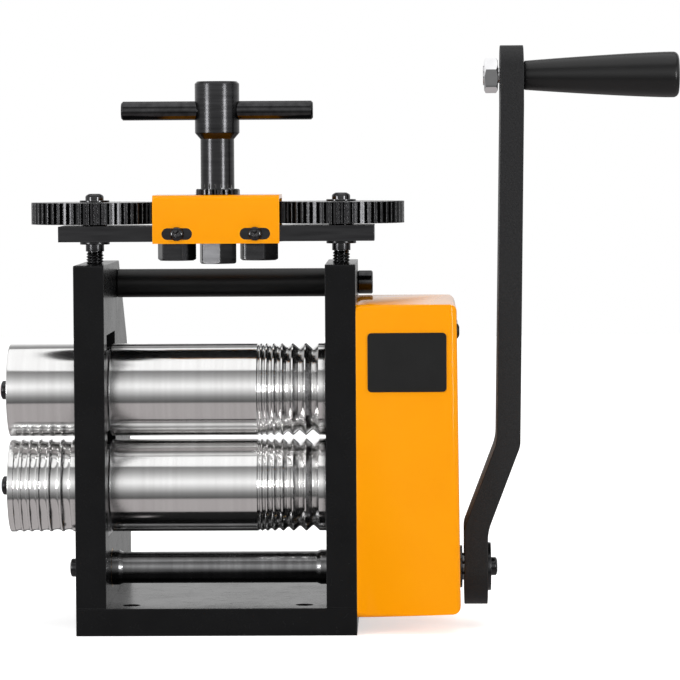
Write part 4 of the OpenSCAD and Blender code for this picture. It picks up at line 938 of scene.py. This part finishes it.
def panHead(user, turned):
    # Height over the seat at distance p from the axis: a pan with a round edge, less the cross, whose depth
    # falls off outside the arms' width and towards their ends
    head, height, long = user["head"], user["height"], user["armLength"]
    p = np.concatenate([np.linspace(0.97, 0.62, 6), np.linspace(0.6, 0.02, 22)]) * head
    angle = anglesOf(user["columns"])
    u, v = (np.abs(p[:, None] * f(angle + turned)) for f in (np.cos, np.sin))
    near, far = np.minimum(u, v), np.maximum(u, v)
    inside = (np.clip((user["armWidth"] - near) / user["armSides"] + 0.5, 0, 1)
              * np.clip((long - far) / user["armEnds"], 0, 1))
    depth = inside * user["depth"] * (1 - user["shoal"] * far / long)
    pan = height * (1 - user["fall"] * (p / head) ** 4)[:, None] - depth
    (cut, taper), edge = user["tip"], user["edge"]
    rows = [(-user["reach"], user["shank"] - cut), (-user["reach"] + taper, user["shank"]),
            (0, user["shank"]), (0, head - edge), (0.2, head), (user["fall"] * height, head)]
    return rows + list(zip(pan, p))


def hoodScrews(user):
    low, high = boxOf("hood_screws")
    bar = boxes["bar"]
    z = (bar[0][2] + bar[1][2]) / 2
    seat = high[1] - user["height"]
    parts = []
    for x, *turns in user["screws"]:
        back, front = (ringSurface(panHead(user, turned), user["columns"], "Y", (x, seat, z))
                       for turned in turns)
        parts += [back, mirrored(front, 1, rollY)]
    ridingPiece("hoodScrewsTurned", parts, "hood_screws", user["sharp"])


hoodScrews(panUser)
print("small screws ready")


# Return springs: open coils between a closed turn at each end

springUser = {"radius": 3.2, "wire": 1.2, "openTurns": 5.0, "closedTurns": 1.0, "closedPitch": 1.28,
              "stepsPerTurn": 28, "sides": 14}


def coil(user, low, high):
    # Wire centre at angle a = 2 pi n: radius (cos a, sin a), with a height that grows by the closed pitch in
    # the end turns and by an even share of what is left in the others. Each ring of the tube stands square
    # to the wire: half the wire's width (cos b outwards + sin b across)
    turns = user["openTurns"] + 2 * user["closedTurns"]
    n = np.linspace(0, turns, int(turns * user["stepsPerTurn"]) + 1)
    height = high - low - user["wire"]
    openShare = np.clip(np.minimum(n, turns - n) / user["closedTurns"] - 0.5, 0, 1)
    slope = openShare ** 2 * (3 - 2 * openShare)
    climb = np.concatenate([[0], np.cumsum((slope[1:] + slope[:-1]) / 2)]) * (n[1] - n[0])
    closed = user["closedPitch"] * (n - climb)
    openPitch = (height - closed[-1]) / climb[-1]
    z = low + user["wire"] / 2 + closed + openPitch * climb
    a = turnCircle * n
    outwards = np.stack([np.cos(a), np.sin(a), 0 * a], -1)
    centre = user["radius"] * outwards
    centre[:, 2] = z
    tangent = np.gradient(centre, axis=0)
    tangent /= np.linalg.norm(tangent, axis=1)[:, None]
    across = np.cross(tangent, outwards)
    b = anglesOf(user["sides"])
    ring = np.cos(b)[:, None] * outwards[:, None] + np.sin(b)[:, None] * across[:, None]
    # An end ring of no size closes the wire at each end
    tube = centre[:, None] + user["wire"] / 2 * ring
    tube = np.concatenate([np.repeat(centre[:1, None], user["sides"], 1), tube,
                           np.repeat(centre[-1:, None], user["sides"], 1)])
    return tube.reshape(-1, 3), gridFaces(len(n) + 2, user["sides"])


def returnSprings(user):
    low, high = boxOf("return_springs")
    wide = user["radius"] + user["wire"] / 2
    one = coil(user, low[2], high[2])
    parts = [(one[0] + np.array([x, y, 0]), one[1]) for x in (low[0] + wide, high[0] - wide)
             for y in (low[1] + wide, high[1] - wide)]
    piece = makePiece("returnSpringsWound", parts, "return_springs", sharp=70)
    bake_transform(piece)


returnSprings(springUser)
print("springs ready")


# CAD solids whose shape is right get true rounded edges: a merged copy of the mesh with a bevel stands for
# the node

roundUser = {
    # node: edge radius in mm; smallest angle of an edge that is rounded, in degrees
    "base_plate": (0.45, 30), "left_side_plate": (0.5, 30), "right_side_plate": (0.5, 30),
    "gear_cover": (0.9, 30), "cover_plate": (0.2, 40), "cover_bush": (0.25, 30),
    "adjuster_hood": (0.35, 40), "bridge_bar": (0.5, 30), "crank_arm": (0.8, 30),
    "crank_washer": (0.3, 30), "handle_bolt": (0.25, 30), "crank_shaft": (0.3, 18), "tie_bar": (0.25, 25),
    "tie_bar_screws": (0.3, 25), "gear_cover_screws": (0.2, 35),
    "lower_block_left": (0.5, 30), "lower_block_right": (0.5, 30),
    "upper_block_left": (0.5, 30), "upper_block_right": (0.5, 30),
    "lower_roll_bushes": (0.25, 30), "upper_roll_bushes": (0.25, 30), "crank_shaft_bushes": (0.25, 30),
    "crank_pinion": (0.2, 30), "drive_gear": (0.2, 30), "lower_coupling_gear": (0.3, 30),
    "upper_coupling_gear": (0.3, 30), "left_idler_gear": (0.12, 30), "right_idler_gear": (0.12, 30),
    "left_adjuster_gear": (0.14, 30), "right_adjuster_gear": (0.14, 30),
    "lower_gear_screw": (0.3, 35), "upper_gear_screw": (0.3, 35),
}
bevelUser = {
    "segments": 3,
    "merge": 2e-6,           # m
    "flat": 0.5,             # degrees between faces that join into one
    # A toothed face round a hole only holds its shape in triangles
    "toothed": ("left_adjuster_gear", "right_adjuster_gear", "drive_gear", "gear_cover_screws"),
}
coverUser = {"leanOut": 1.6, "raiseFront": -0.25, "raiseBack": 1.9, "raiseEnd": 1.6}


def leanCover(mesh, user):
    # The end face leans in towards the frame with height, in proportion to the distance from the side
    # plate, and the top climbs towards the back and towards the end face
    low, high = boxOf("gear_cover")
    place = np.empty(3 * len(mesh.vertices))
    mesh.vertices.foreach_get("co", place)
    place = place.reshape(-1, 3) / mm
    share = np.clip((place - low) / (high - low), 0, 1)
    place[:, 0] -= user["leanOut"] * share[:, 0] * share[:, 2]
    depth = user["raiseFront"] + (user["raiseBack"] - user["raiseFront"]) * share[:, 1]
    place[:, 2] += (depth + user["raiseEnd"] * share[:, 0]) * share[:, 2] ** 2
    mesh.vertices.foreach_set("co", (place * mm).ravel())


def roundedCopy(node, radius, angle, user):
    mesh = cad[node].data.copy()
    mesh.name = camel(node) + "Rounded"
    grid = bmesh.new()
    grid.from_mesh(mesh)
    bmesh.ops.remove_doubles(grid, verts=grid.verts, dist=user["merge"])
    bmesh.ops.dissolve_limit(grid, angle_limit=math.radians(user["flat"]), verts=grid.verts, edges=grid.edges)
    if node in user["toothed"]:
        bmesh.ops.triangulate(grid, faces=[face for face in grid.faces if len(face.verts) > 4])
    grid.to_mesh(mesh)
    grid.free()
    if node == "gear_cover":
        leanCover(mesh, coverUser)
    smoothUpTo(mesh, angle)
    piece = addObject(mesh.name, mesh)
    bevel = piece.modifiers.new("edges", "BEVEL")
    bevel.width = radius * mm
    bevel.segments = user["segments"]
    bevel.limit_method = "ANGLE"
    bevel.angle_limit = math.radians(angle)
    bevel.use_clamp_overlap = True
    bevel.harden_normals = True
    standFor(piece, node)
    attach(piece, bodyOf[node])


for roundNode, roundValues in roundUser.items():
    roundedCopy(roundNode, *roundValues, bevelUser)
print("rounded copies ready")
